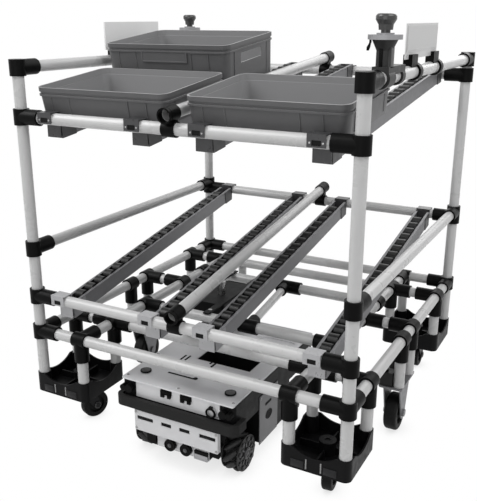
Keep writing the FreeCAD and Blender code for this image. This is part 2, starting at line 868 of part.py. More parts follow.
def totes():
    left_x = (upper_tracks[0][0] + upper_tracks[1][0]) / 2 + left_lane_shift
    right_x = (upper_tracks[2][0] + upper_tracks[3][0]) / 2 + right_lane_shift
    front_y = -post_y + pipe_r + tote_w / 2 + tote_front_gap
    save("front_left_tote", [place_tote(tote(shallow_h, False, False), left_x, front_y)])
    save("front_right_tote", [place_tote(tote(shallow_h, False, False), right_x, front_y)])
    save("rear_left_tote", [place_tote(tote(deep_h, True, True), left_x, front_y + tote_w + 10)])


# Emergency stop standing on a top rail; the mushroom head is a piece of its own.
def stop_base(x, y, way):
    z = top_rail_z
    near = y - way * stop_foot
    ring = y + way * stop_ring_gap
    far = ring + way * stop_ring_w
    clamp = rod((x, ring, z), (x, far, z), sleeve_r)
    w = stop_foot_w / 2
    foot = box(x - w, x + w, min(near, far), max(near, far), z + pipe_r * 0.6, z + sleeve_r + 3)
    front = rod((x, near, z), (x, y + way * stop_foot, z), sleeve_r + 1)
    stem = rod((x, y, z), (x, y, stop_flange_z), stop_body_d / 2)
    dome_z = stop_flange_z - stop_dome_h
    dome = Part.makeCone(stop_body_d / 2, stop_dome_d / 2, stop_dome_h, V(x, y, dome_z))
    face_z = stop_flange_z + stop_flange_t
    flange = rod((x, y, stop_flange_z), (x, y, face_z), stop_flange_d / 2)
    collar = rod((x, y, face_z), (x, y, face_z + stop_neck_h), stop_neck_d / 2)
    rail = rod((x, y - 2 * stop_ring_gap, z), (x, y + 2 * stop_ring_gap, z), pipe_r + pipe_fit)
    well_z = stop_flange_z - stop_travel - 4
    well = rod((x, y, well_z), (x, y, face_z + 2 * stop_neck_h), stop_stem_d / 2 + run_fit)
    return fuse([clamp, foot, front, stem, dome, flange, collar]).cut(fuse([rail, well]))


def stop_head(x, y):
    z0 = stop_flange_z + stop_flange_t + stop_neck_h + stop_travel + seat_gap
    r = stop_head_d / 2
    top = z0 + stop_head_h
    stem_low = stop_flange_z + 1
    stem = stop_stem_d / 2
    pts = [V(x, y, stem_low), V(x + stem, y, stem_low), V(x + stem, y, z0), V(x + 13.5, y, z0),
           V(x + 14.5, y, z0 + 10), V(x + r, y, z0 + 19), V(x + r, y, top - 6)]
    edges = [Part.LineSegment(pts[i], pts[i + 1]).toShape() for i in range(6)]
    edges.append(Part.Arc(pts[6], V(x + r - 2.2, y, top - 1.6), V(x + r - 7, y, top)).toShape())
    edges.append(Part.LineSegment(V(x + r - 7, y, top), V(x, y, top)).toShape())
    edges.append(Part.LineSegment(V(x, y, top), pts[0]).toShape())
    return Part.Face(Part.Wire(edges)).revolve(V(x, y, 0), V(0, 0, 1), 360)


# Sign plate with a raised field on its outer side that a label lies on.
def sign_plate(x, y_mid):
    z0, z1 = plate_bottom_z, plate_bottom_z + plate_h
    y0, y1 = y_mid - plate_l / 2, y_mid + plate_l / 2
    t = plate_t / 2
    plate = box(-t, t, y0, y1, z0, z1)
    field = box(0, t + label_rise, y0 + label_edge, y1 - label_edge, z0 + label_foot, z1 - label_edge)
    sign = fuse([plate, field])
    if x < 0:
        sign = mirror_x(sign)
    sign.translate(V(x, 0, 0))
    return sign


def sign_clips(x, y_mid):
    out = []
    z = top_rail_z
    reach = 2 * clip_front
    for s in (-1, 1):
        y = y_mid + s * clip_pitch / 2
        ring = rod((x, y + clip_front - 2, z), (x, y + clip_front + clip_ring_l, z), sleeve_r)
        block = box(x - clip_half, x + clip_half, y - clip_back, y + clip_front,
                    z + pipe_r * 0.8, plate_bottom_z + clip_grip)
        rail = rod((x, y - reach, z), (x, y + reach, z), pipe_r + pipe_fit)
        slot = box(x - plate_t / 2 - 0.1, x + plate_t / 2 + 0.1, y - reach, y + reach,
                   plate_bottom_z - seat_gap, plate_bottom_z + plate_h)
        out.append(fuse([ring, block]).cut(fuse([rail, slot])))
    return out


# Robot chassis: a wide upper box on a narrow tray with a raised nose, and a wide middle.
def chassis():
    t = body_t
    hw = body_w / 2
    ht = tray_w / 2
    top = deck_z - deck_t
    y0, y1 = body_front_y, body_rear_y
    mid = (y0 + y1) / 2
    step = y0 + nose_l
    outer = fuse([round_block(body_w, y1 - y0, body_corner, fender_z, top, 0, mid),
                  box(-ht, ht, y0, step + t, nose_z, fender_z + 1),
                  box(-ht, ht, step, y1, tray_z, fender_z + 1),
                  box(-hw, hw, mid_body_front_y, mid_body_rear_y, skirt_z, fender_z + 1)])
    inner = fuse([round_block(body_w - 2 * t, y1 - y0 - 2 * t, body_corner - t,
                              fender_z + t, top + 1, 0, mid),
                  box(t - ht, ht - t, y0 + t, step + 2 * t, nose_z + t, fender_z + t + 1),
                  box(t - ht, ht - t, step + t, y1 - t, tray_z + t, fender_z + t + 1),
                  box(t - hw, hw - t, mid_body_front_y + t, mid_body_rear_y - t,
                      skirt_z + t, fender_z + t + 1)])
    holes = []
    for y in (mec_front_y, mec_rear_y):
        holes.append(rod((-ht - 1, y, mec_d / 2), (ht + 1, y, mec_d / 2), shaft_r + run_fit))
    for x in port_x:
        holes.append(box(x - port_half, x + port_half, y0 - 1, y0 + t + 1, top - port_h - 3, top - 3))
    guide_z = (bumper_z0 + bumper_z1) / 2
    for x in (-guide_x, guide_x):
        holes.append(rod((x, y0 - 1, guide_z), (x, y0 + t + 1, guide_z), guide_r + 1))
    return outer.cut(inner).cut(fuse(holes))


# Deck sheet with the connector window, a shallow rounded recess and the latch's locating hole.
def deck():
    low = deck_z - deck_t
    plate = round_block(deck_w, deck_rear_y - deck_front_y, 4, low, deck_z,
                        0, (deck_rear_y + deck_front_y) / 2)
    window = box(*window_x, *window_y, low - 1, deck_z + 1)
    floor_z = deck_z - recess_depth
    x0, x1 = recess_x
    recess = fuse([box(x0, x1, recess_y - recess_r, recess_y + recess_r, floor_z, deck_z + 1),
                   rod((x0, recess_y, floor_z), (x0, recess_y, deck_z + 1), recess_r),
                   rod((x1, recess_y, floor_z), (x1, recess_y, deck_z + 1), recess_r)])
    h = dock_pin_d / 2 + dock_hole_gap
    hole = box(dock_pin_x - h, dock_pin_x + h, dock_pin_y - h, dock_pin_y + h, low - 1, deck_z + 1)
    return plate.cut(fuse([window, recess, hole]))


def deck_pads():
    x = deck_w / 2 - pad_inset
    places = [(-x, pad_front_y), (x, pad_front_y), (pad_rear_inset - deck_w / 2, pad_rear_y)]
    return [rod((x, y, deck_z), (x, y, deck_z + pad_t), pad_r) for x, y in places]


def deck_well():
    z0 = fender_z + well_rise
    g = seat_gap
    w = seat_gap + well_wall
    tray = box(window_x[0] + g, window_x[1] - g, window_y[0] + g, window_y[1] - g, z0, deck_z - 1)
    return tray.cut(box(window_x[0] + w, window_x[1] - w, window_y[0] + w, window_y[1] - w,
                        z0 + well_wall, deck_z))


def front_panel():
    x0, x1 = panel_x - panel_w / 2, panel_x + panel_w / 2
    t = body_t
    face = box(x0, x1, panel_y, panel_y + t, panel_z0, panel_z1)
    returns = [box(x0, x0 + t, panel_y, body_front_y, panel_z0, panel_z1),
               box(x1 - t, x1, panel_y, body_front_y, panel_z0, panel_z1),
               box(x0, x1, panel_y, body_front_y, panel_z1 - t, panel_z1)]
    slots = [box(a, b, panel_y - 1, panel_y + t + 1, vent_z, vent_z + vent_h) for a, b in vent_x]
    return fuse([face] + returns).cut(fuse(slots))


def upper_front_panel():
    z0 = bumper_z1 + 1
    z1 = deck_z - deck_t - seat_gap
    y = body_front_y
    face = box(panel_x - panel_w / 2, panel_x + panel_w / 2, y - body_t, y, z0, z1)
    notches = []
    for x in port_x:
        notches.append(box(x - port_half, x + port_half, y - body_t - 1, y + 1, z1 - port_h, z1 + 1))
        notches.append(box(x + 6, x + 10, y - body_t - 1, y + 1, z1 - port_h - 4, z1))
    return face.cut(fuse(notches))


def low_front_panel():
    x0 = low_panel_x - low_panel_w / 2
    return box(x0, x0 + low_panel_w, body_front_y - body_t, body_front_y, nose_z + body_t, panel_z0 - 1)


def side_panels():
    x = body_w / 2
    y = mid_body_front_y - side_panel_over
    p = box(x, x + body_t, y, y + side_panel_l, skirt_z, side_panel_top_z)
    return [p, mirror_x(p)]


# Wrap-round foam bumper on a sprung carrier, standing clear of the panels behind it.
def bumper():
    h = bumper_half
    r = 20.0
    y0 = panel_y - 5
    ring = round_block(2 * h, 2 * bumper_back, r, bumper_z0, bumper_z1, 0, y0 + bumper_back)
    hole = round_block(2 * h - 2 * bumper_t, 2 * bumper_back - 2 * bumper_t, r - bumper_t,
                       bumper_z0 - 1, bumper_z1 + 1, 0, y0 + bumper_back)
    rear = box(-h - 1, h + 1, y0 + bumper_back, y0 + 2 * bumper_back + 1, bumper_z0 - 1, bumper_z1 + 1)
    strip = ring.cut(fuse([hole, rear]))
    guides = []
    for x in (-guide_x, guide_x):
        guides.append(rod((x, y0 + bumper_t - 1, (bumper_z0 + bumper_z1) / 2),
                          (x, body_front_y + 14, (bumper_z0 + bumper_z1) / 2), guide_r))
    return fuse([strip] + guides)


def bumper_guides():
    z = (bumper_z0 + bumper_z1) / 2
    out = []
    for x in (-guide_x, guide_x):
        tube = rod((x, body_front_y + body_t, z), (x, body_front_y + 26, z), 8)
        out.append(tube.cut(rod((x, body_front_y - 5, z), (x, body_front_y + 30, z), guide_r + run_fit)))
    return out


# Round sensors and a connector box on the low panel, and knobs under the deck's front corners.
def sensors():
    y = body_front_y
    face = y - body_t
    out = [rod((x, face - sensor_l, sensor_z), (x, face, sensor_z), sensor_r) for x in sensor_x]
    low = nose_z + body_t
    out.append(box(*plug_x, face - plug_l, face, low, low + plug_h))
    out.append(box(*block_x, y - plug_l, y, nose_z + block_rise, panel_z0 - body_t))
    for s in (-1, 1):
        pair = []
        for inset, r in knobs:
            x = s * (body_w / 2 - inset)
            pair.append(rod((x, y - knob_l, knob_z), (x, y, knob_z), r))
        out.append(fuse(pair))
    return out


# A lashing eye on the upper front panel, standing clear above the bumper.
def lashing_eye():
    face = body_front_y - body_t
    z = bumper_z1 + 1 + eye_r + eye_d / 2
    y = face - eye_d
    ring = Part.makeTorus(eye_r, eye_d / 2, V(eye_x, y, z), V(0, 1, 0))
    foot = box(eye_x - 4, eye_x + 4, y - eye_d / 2, face, z + eye_r - 2, z + eye_r + 5)
    return [fuse([ring, foot])]


# Mecanum wheel: barrel rollers at 45 degrees between two side plates, on a splined hub.
def mecanum(cx, cy, hand):
    r = mec_d / 2
    a = r - mec_roller_d / 2
    reach = 22.2
    side = 20.0

    def barrel_r(t):
        return r - math.sqrt(a * a + t * t / 2)

    ends = barrel_r(reach)
    profile = [Part.LineSegment(V(-reach, 0, 0), V(-reach, ends, 0)).toShape(),
               Part.Arc(V(-reach, ends, 0), V(0, mec_roller_d / 2, 0), V(reach, ends, 0)).toShape(),
               Part.LineSegment(V(reach, ends, 0), V(reach, 0, 0)).toShape(),
               Part.LineSegment(V(reach, 0, 0), V(-reach, 0, 0)).toShape()]
    barrel = Part.Face(Part.Wire(profile)).revolve(V(0, 0, 0), V(1, 0, 0), 360)
    pin_reach = (side - seat_gap) * math.sqrt(2) - mec_pin_d / 2
    pin = rod((-pin_reach, 0, 0), (pin_reach, 0, 0), mec_pin_d / 2)
    roller = barrel.fuse(pin)
    roller.rotate(V(0, 0, 0), V(0, 0, 1), hand * 45)
    roller.translate(V(0, 0, a))
    rollers = []
    for i in range(mec_rollers):
        s = roller.copy()
        s.rotate(V(0, 0, 0), V(1, 0, 0), 360.0 / mec_rollers * i)
        s.translate(V(cx, cy, r))
        rollers.append(s)
    h = mec_w / 2
    plates = [rod((cx - side - 2.5, cy, r), (cx - side, cy, r), r - 2.2),
              rod((cx + side, cy, r), (cx + side + 2.5, cy, r), r - 2.2)]
    core = rod((cx - side, cy, r), (cx + side, cy, r), a - mec_roller_d / 2 - 4)
    boss = rod((cx - h, cy, r), (cx + h, cy, r), 14)
    hub = fuse([core, boss] + plates)
    inward = -1 if cx > 0 else 1
    shaft = rod((cx, cy, r), (-inward * (tray_w / 2 - shaft_in), cy, r), shaft_r)
    return rollers + [fuse([hub, shaft])]


# Gear motors inside the tray, one for each wheel, with a bore for its shaft.
def drive_motors():
    out = []
    r = mec_d / 2
    floor = tray_z + body_t
    for y in (mec_front_y, mec_rear_y):
        for s in (-1, 1):
            x0 = s * (tray_w / 2 - body_t)
            x1 = s * motor_mid
            can = rod((x0, y, r), (x1, y, r), motor_r)
            foot = box(min(x0, x1), max(x0, x1), y - motor_mid, y + motor_mid, floor, r)
            bore = rod((x0 * 2, y, r), (s * (tray_w / 2 - shaft_in - 2), y, r), shaft_r + run_fit)
            out.append(fuse([can, foot]).cut(bore))
    return out


def battery():
    z0 = tray_z + body_t
    l, w, h = battery_size
    cl, cw, ch = controller_size
    return [round_block(l, w, 5, z0, z0 + h, 0, battery_y),
            round_block(cl, cw, 3, z0, z0 + ch, 0, controller_y)]


def dock_housing():
    x0, x1 = dock_x - dock_w / 2, dock_x + dock_w / 2
    z0, z1 = dock_bottom_z, dock_bottom_z + dock_h
    shell = round_block(dock_w, dock_l, 8, z0, z1, dock_x, dock_y)
    sleeve = rod((dock_pin_x, dock_pin_y, z0 - 10), (dock_pin_x, dock_pin_y, z1), dock_pin_d / 2 + 5)
    bore = rod((dock_pin_x, dock_pin_y, z0 - 20), (dock_pin_x, dock_pin_y, z1 + 20), dock_pin_d / 2 + run_fit)
    rest_z = base_rail_z + pipe_r
    straps = []
    for x in (x0 + strap_w / 2 + 2, x1 - strap_w / 2 - 2):
        straps.append(box(x - strap_w / 2, x + strap_w / 2, front_bar_y - 12, rear_bar_y + 12,
                          rest_z, rest_z + strap_t))
    return fuse([shell, sleeve] + straps).cut(bore)


def dock_pin():
    x, y = dock_pin_x, dock_pin_y
    tip_z = deck_z + dock_clear
    k = dock_tip_chamfer
    tip = Part.makeCone(dock_pin_d / 2 - k, dock_pin_d / 2, k, V(x, y, tip_z))
    pin = rod((x, y, tip_z + k), (x, y, dock_pin_top_z), dock_pin_d / 2)
    head = rod((x, y, dock_pin_top_z - 8), (x, y, dock_pin_top_z), dock_pin_d / 2 + 2)
    return fuse([pin, tip, head])


save("corner_posts", posts())
save("base_pipes", base_pipes())
save("leg_pipes", leg_pipes())
save("deck_rails", deck_pipes())
save("side_rails", side_pipes())
save("guide_pipes", guide_pipes())
save("post_joints", post_joints())
save("top_joints", top_joints())
save("base_joints", base_joints() + tie_joints())
save("guide_joints", guide_joints())

corners = {"front_left": (-1, -1), "front_right": (1, -1), "rear_left": (-1, 1), "rear_right": (1, 1)}
for name, (sx, sy) in corners.items():
    cx, cy = sx * base_x, sy * base_y
    save(name + "_base", [corner_base(cx, cy)])
    angle = caster_turn[name]
    rolling = wheel(cx, cy + caster_trail, caster_wheel_d, caster_wheel_w, caster_axle_d, 5)
    save(name + "_fork", [turned(caster_fork(cx, cy), cx, cy, angle)])
    save(name + "_wheel", [turned(s, cx, cy, angle) for s in rolling])

right_bracket = mid_bracket()
right_mid_wheel = wheel(post_x - mid_inset, 0, mid_wheel_d, mid_wheel_w, mid_axle_d, 7)
save("mid_brackets", [right_bracket, mirror_x(right_bracket)])
save("right_mid_wheel", right_mid_wheel)
save("left_mid_wheel", [mirror_x(s) for s in right_mid_wheel])

tracks()
totes()

save("right_stop_base", [stop_base(post_x, stop_y_right, 1)])
save("right_stop_head", [stop_head(post_x, stop_y_right)])
save("left_stop_base", [stop_base(-post_x, stop_y_left, -1)])
save("left_stop_head", [stop_head(-post_x, stop_y_left)])
save("sign_plates", [sign_plate(post_x, plate_mid_right), sign_plate(-post_x, plate_mid_left)])
save("sign_clips", sign_clips(post_x, plate_mid_right) + sign_clips(-post_x, plate_mid_left))

save("robot_chassis", [chassis()])
save("robot_deck", [deck()])
save("deck_pads", deck_pads())
save("deck_well", [deck_well()])
save("front_panels", [front_panel(), upper_front_panel(), low_front_panel()])
save("side_panels", side_panels())
save("bumper", [bumper()])
save("front_fittings", sensors() + bumper_guides() + lashing_eye())
save("drive_motors", drive_motors())
save("battery_pack", battery())
for name, sx, y in (("front_left", -1, mec_front_y), ("front_right", 1, mec_front_y),
                    ("rear_left", -1, mec_rear_y), ("rear_right", 1, mec_rear_y)):
    hand = sx * (1 if y == mec_front_y else -1)
    save(name + "_drive_wheel", mecanum(sx * mec_x, y, hand))
save("dock_housing", [dock_housing()])
save("dock_pin", [dock_pin()])
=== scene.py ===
import bpy
import json
import math
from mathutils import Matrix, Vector


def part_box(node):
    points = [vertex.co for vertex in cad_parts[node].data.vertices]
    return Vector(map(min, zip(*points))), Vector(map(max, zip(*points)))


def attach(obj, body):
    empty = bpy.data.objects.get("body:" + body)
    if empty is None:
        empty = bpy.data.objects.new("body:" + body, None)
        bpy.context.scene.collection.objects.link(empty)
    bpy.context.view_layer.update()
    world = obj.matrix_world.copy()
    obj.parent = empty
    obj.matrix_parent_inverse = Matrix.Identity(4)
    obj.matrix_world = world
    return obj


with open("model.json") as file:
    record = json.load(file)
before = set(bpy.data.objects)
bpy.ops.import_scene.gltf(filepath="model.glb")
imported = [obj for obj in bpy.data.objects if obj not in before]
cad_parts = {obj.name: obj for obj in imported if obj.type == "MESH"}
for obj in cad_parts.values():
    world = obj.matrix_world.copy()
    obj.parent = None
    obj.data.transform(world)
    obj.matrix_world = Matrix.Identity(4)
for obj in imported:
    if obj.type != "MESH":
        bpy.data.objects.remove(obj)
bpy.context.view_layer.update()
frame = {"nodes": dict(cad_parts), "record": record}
nodes = frame["nodes"]
print("frame loaded:", len(nodes), "nodes")

view = {"place": (0.865, -1.725, 1.060), "lookDown": 17.8, "turnLeft": 28.5, "lens": 52.2,
        "sensor": 36, "clipStart": 0.05}


def addCamera():
    data = bpy.data.cameras.new("camera")
    data.lens = view["lens"]
    data.sensor_width = view["sensor"]
    data.clip_start = view["clipStart"]
    cam = bpy.data.objects.new("camera", data)
    bpy.context.scene.collection.objects.link(cam)
    cam.location = view["place"]
    cam.rotation_euler = (math.radians(90 - view["lookDown"]), 0, math.radians(view["turnLeft"]))
    bpy.context.scene.camera = cam


def addNode(tree, kind, sockets=None, **settings):
    # one node; each socket takes a value, or the output that feeds it
    node = tree.nodes.new(kind)
    for name, value in settings.items():
        setattr(node, name, value)
    for name, value in (sockets or {}).items():
        if isinstance(value, bpy.types.NodeSocket):
            tree.links.new(value, node.inputs[name])
        else:
            node.inputs[name].default_value = value
    return node


def hexToLinear(text):
    channels = []
    for i in (0, 2, 4):
        c = int(text[i:i + 2], 16) / 255
        channels.append(c / 12.92 if c <= 0.04045 else ((c + 0.055) / 1.055) ** 2.4)
    return (*channels, 1)


backdrop = {
    "world": "e6e6e6", "worldStrength": 0.32, "floorSize": 14, "floor": "e4e4e4", "floorRough": 0.8,
    # soft contact shadow: the floor darkens only where little light reaches it
    "shadowReach": 0.07, "shadowFrom": 0.15, "shadowTo": 0.8, "shadowTone": 0.72, "shadowSamples": 8,
}


def whiteToCamera(tree, shaded, white):
    # seen straight, through glass or in a reflection the backdrop is plain white
    path = addNode(tree, "ShaderNodeLightPath")
    seen = addNode(tree, "ShaderNodeMath",
                   {0: path.outputs["Is Camera Ray"], 1: path.outputs["Is Glossy Ray"]},
                   operation="ADD", use_clamp=True)
    seen = addNode(tree, "ShaderNodeMath", {0: seen.outputs[0], 1: path.outputs["Is Transmission Ray"]},
                   operation="ADD", use_clamp=True)
    return addNode(tree, "ShaderNodeMixShader",
                   {0: seen.outputs[0], 1: shaded.outputs[0], 2: white.outputs[0]})


def addWorld():
    world = bpy.data.worlds.new("studio")
    bpy.context.scene.world = world
    world.use_nodes = True
    tree = world.node_tree
    tree.nodes.clear()
    plain = addNode(tree, "ShaderNodeBackground",
                    {"Color": hexToLinear(backdrop["world"]), "Strength": backdrop["worldStrength"]})
    white = addNode(tree, "ShaderNodeBackground", {"Color": (1, 1, 1, 1), "Strength": 1})
    mix = whiteToCamera(tree, plain, white)
    addNode(tree, "ShaderNodeOutputWorld", {"Surface": mix.outputs[0]})


lamps = [
    {"name": "ceilingLeft", "place": (-2.2, -1.6, 3.4), "size": 2.6, "power": 122},
    {"name": "ceilingRight", "place": (2.4, -0.6, 3.2), "size": 2.4, "power": 70},
    {"name": "frontFill", "place": (0.6, -4.2, 1.8), "size": 2.8, "power": 36},
    {"name": "backFill", "place": (0.4, 3.4, 2.6), "size": 2.6, "power": 40},
]
lampAim = (0, 0, 0.5)


def addLamps():
    for lamp in lamps:
        data = bpy.data.lights.new(lamp["name"], "AREA")
        data.energy = lamp["power"]
        data.size = lamp["size"]
        obj = bpy.data.objects.new(lamp["name"], data)
        bpy.context.scene.collection.objects.link(obj)
        obj.location = lamp["place"]
        aim = Vector(lampAim) - Vector(lamp["place"])
        obj.rotation_euler = aim.to_track_quat("-Z", "Y").to_euler()


def newMaterial(name):
    mat = bpy.data.materials.new(name)
    mat.use_nodes = True
    mat.node_tree.nodes.clear()
    return mat, mat.node_tree


def addFloor():
    bpy.ops.object.select_all(action="DESELECT")
    bpy.ops.mesh.primitive_plane_add(size=backdrop["floorSize"], location=(0, 0, 0))
    floor = bpy.context.object
    floor.name = "floor"
    mat, tree = newMaterial("paleFloor")
    matte = addNode(tree, "ShaderNodeBsdfPrincipled",
                    {"Base Color": hexToLinear(backdrop["floor"]), "Roughness": backdrop["floorRough"]})
    reach = addNode(tree, "ShaderNodeAmbientOcclusion", {"Distance": backdrop["shadowReach"]},
                    samples=backdrop["shadowSamples"])
    shade = addNode(tree, "ShaderNodeMapRange",
                    {"Value": reach.outputs["AO"], "From Min": backdrop["shadowFrom"],
                     "From Max": backdrop["shadowTo"], "To Min": backdrop["shadowTone"], "To Max": 1.0})
    white = addNode(tree, "ShaderNodeEmission", {"Color": (1, 1, 1, 1), "Strength": shade.outputs[0]})
    mix = whiteToCamera(tree, matte, white)
    addNode(tree, "ShaderNodeOutputMaterial", {"Surface": mix.outputs[0]})
    floor.data.materials.append(mat)


addCamera()
addWorld()
addLamps()
addFloor()
bpy.context.scene.view_settings.view_transform = "Standard"
print("camera, lamps and floor placed")


# how every finish reads its colour cloud and its grain
surface = {"cloudDetail": 3, "cloudRough": 0.6, "grainDetail": 2, "grainRough": 0.5, "bumpShare": 4000,
           "polishFrom": 0.3, "polishTo": 0.7, "rimFrom": 0.5, "rimTo": 0.9,
           "deepFrom": 0.35, "deepTo": 0.8, "deepSamples": 8}


def layColour(tree, factor, under, over):
    # colour over is laid on colour under as far as factor says
    return addNode(tree, "ShaderNodeMix", {0: factor, 6: under, 7: over}, data_type="RGBA").outputs[2]


def addZone(tree, coord, colour, zone):
    # past a height the same part takes another colour: another material, such as a bare flange on a painted
    # column, or the edge of painted shade, as on the hooks and track noses
    axes = addNode(tree, "ShaderNodeSeparateXYZ", {0: coord.outputs["Object"]})
    place = addNode(tree, "ShaderNodeMath", {0: axes.outputs[zone.get("axis", "Z")]}, operation="ABSOLUTE")
    past = addNode(tree, "ShaderNodeMath", {0: place.outputs[0], 1: zone["height"] / 1000},
                   operation="GREATER_THAN" if zone["above"] else "LESS_THAN")
    if zone.get("frontOnly"):
        front = addNode(tree, "ShaderNodeMath", {0: axes.outputs["Y"], 1: 0.0}, operation="LESS_THAN")
        past = addNode(tree, "ShaderNodeMath", {0: past.outputs[0], 1: front.outputs[0]},
                       operation="MULTIPLY")
    metal = addNode(tree, "ShaderNodeMath", {0: past.outputs[0], 1: zone["metal"]}, operation="MULTIPLY")
    return layColour(tree, past.outputs[0], colour, hexToLinear(zone["colour"])), metal.outputs[0]


def addHollow(tree, coord, colour, look):
    # the inner walls are paler, because light comes through the thin plastic
    out = addNode(tree, "ShaderNodeVectorMath", {0: coord.outputs["Object"], 1: look["middle"]},
                  operation="SUBTRACT")
    facing = addNode(tree, "ShaderNodeVectorMath", {0: out.outputs[0], 1: coord.outputs["Normal"]},
                     operation="DOT_PRODUCT")
    inner = addNode(tree, "ShaderNodeMath", {0: facing.outputs["Value"], 1: 0.0}, operation="LESS_THAN")
    colour = layColour(tree, inner.outputs[0], colour, hexToLinear(look["hollow"]))
    # painted highlight: upward faces outside, such as the rim and its band, are made paler, as light falls on
    # them from above
    axes = addNode(tree, "ShaderNodeSeparateXYZ", {0: coord.outputs["Normal"]})
    paintedRimHighlight = addNode(tree, "ShaderNodeMapRange",
                   {"Value": axes.outputs["Z"], "From Min": surface["rimFrom"],
                    "From Max": surface["rimTo"], "To Min": 0.0, "To Max": 1.0})
    outer = addNode(tree, "ShaderNodeMath", {0: 1.0, 1: inner.outputs[0]}, operation="SUBTRACT")
    paintedRimHighlight = addNode(tree, "ShaderNodeMath", {0: paintedRimHighlight.outputs[0], 1: outer.outputs[0]}, operation="MULTIPLY")
    return layColour(tree, paintedRimHighlight.outputs[0], colour, hexToLinear(look["rim"]))


def addPaintedShade(tree, colour, paintedShade):
    # painted shade: what lies deep between two walls is darkened, as shade falls there
    depth = addNode(tree, "ShaderNodeAmbientOcclusion", {"Distance": paintedShade["reachMm"] / 1000},
                    samples=surface["deepSamples"])
    deep = addNode(tree, "ShaderNodeMapRange",
                   {"Value": depth.outputs["AO"], "From Min": surface["deepFrom"],
                    "From Max": surface["deepTo"], "To Min": 1.0, "To Max": 0.0})
    return layColour(tree, deep.outputs[0], colour, hexToLinear(paintedShade["colour"]))


def grainMaterial(name, look):
    # colour that drifts a little, a fine surface grain in the bump, and uneven polish
    mat, tree = newMaterial(name)
    coord = addNode(tree, "ShaderNodeTexCoord")
    cloud = addNode(tree, "ShaderNodeTexNoise",
                    {"Vector": coord.outputs["Object"], "Scale": 1000 / look["driftMm"],
                     "Detail": surface["cloudDetail"], "Roughness": surface["cloudRough"]})
    colour = layColour(tree, cloud.outputs["Fac"], hexToLinear(look["dark"]), hexToLinear(look["light"]))
    metal = look.get("metal", 0.0)
    if "zone" in look:
        colour, metal = addZone(tree, coord, colour, look["zone"])
    if "hollow" in look:
        colour = addHollow(tree, coord, colour, look)
    # painted shade, darkening deep recesses
    if "paintedShade" in look:
        colour = addPaintedShade(tree, colour, look["paintedShade"])
    polish = addNode(tree, "ShaderNodeMapRange",
                     {"Value": cloud.outputs["Fac"], "From Min": surface["polishFrom"],
                      "From Max": surface["polishTo"], "To Min": look["rough"] - look["roughDrift"],
                      "To Max": look["rough"] + look["roughDrift"]})
    grain = addNode(tree, "ShaderNodeTexNoise",
                    {"Vector": coord.outputs["Object"], "Scale": 1000 / look["grainMm"],
                     "Detail": surface["grainDetail"], "Roughness": surface["grainRough"]})
    bump = addNode(tree, "ShaderNodeBump",
                   {"Height": grain.outputs["Fac"], "Strength": look["grain"],
                    "Distance": look["grainMm"] / surface["bumpShare"]})
    shader = addNode(tree, "ShaderNodeBsdfPrincipled",
                     {"Base Color": colour, "Roughness": polish.outputs[0], "Normal": bump.outputs[0],
                      "Metallic": metal})
    if "ior" in look:
        shader.inputs["IOR"].default_value = look["ior"]
    if "specular" in look:
        shader.inputs["Specular IOR Level"].default_value = look["specular"]
    addNode(tree, "ShaderNodeOutputMaterial", {"Surface": shader.outputs[0]})
    return mat


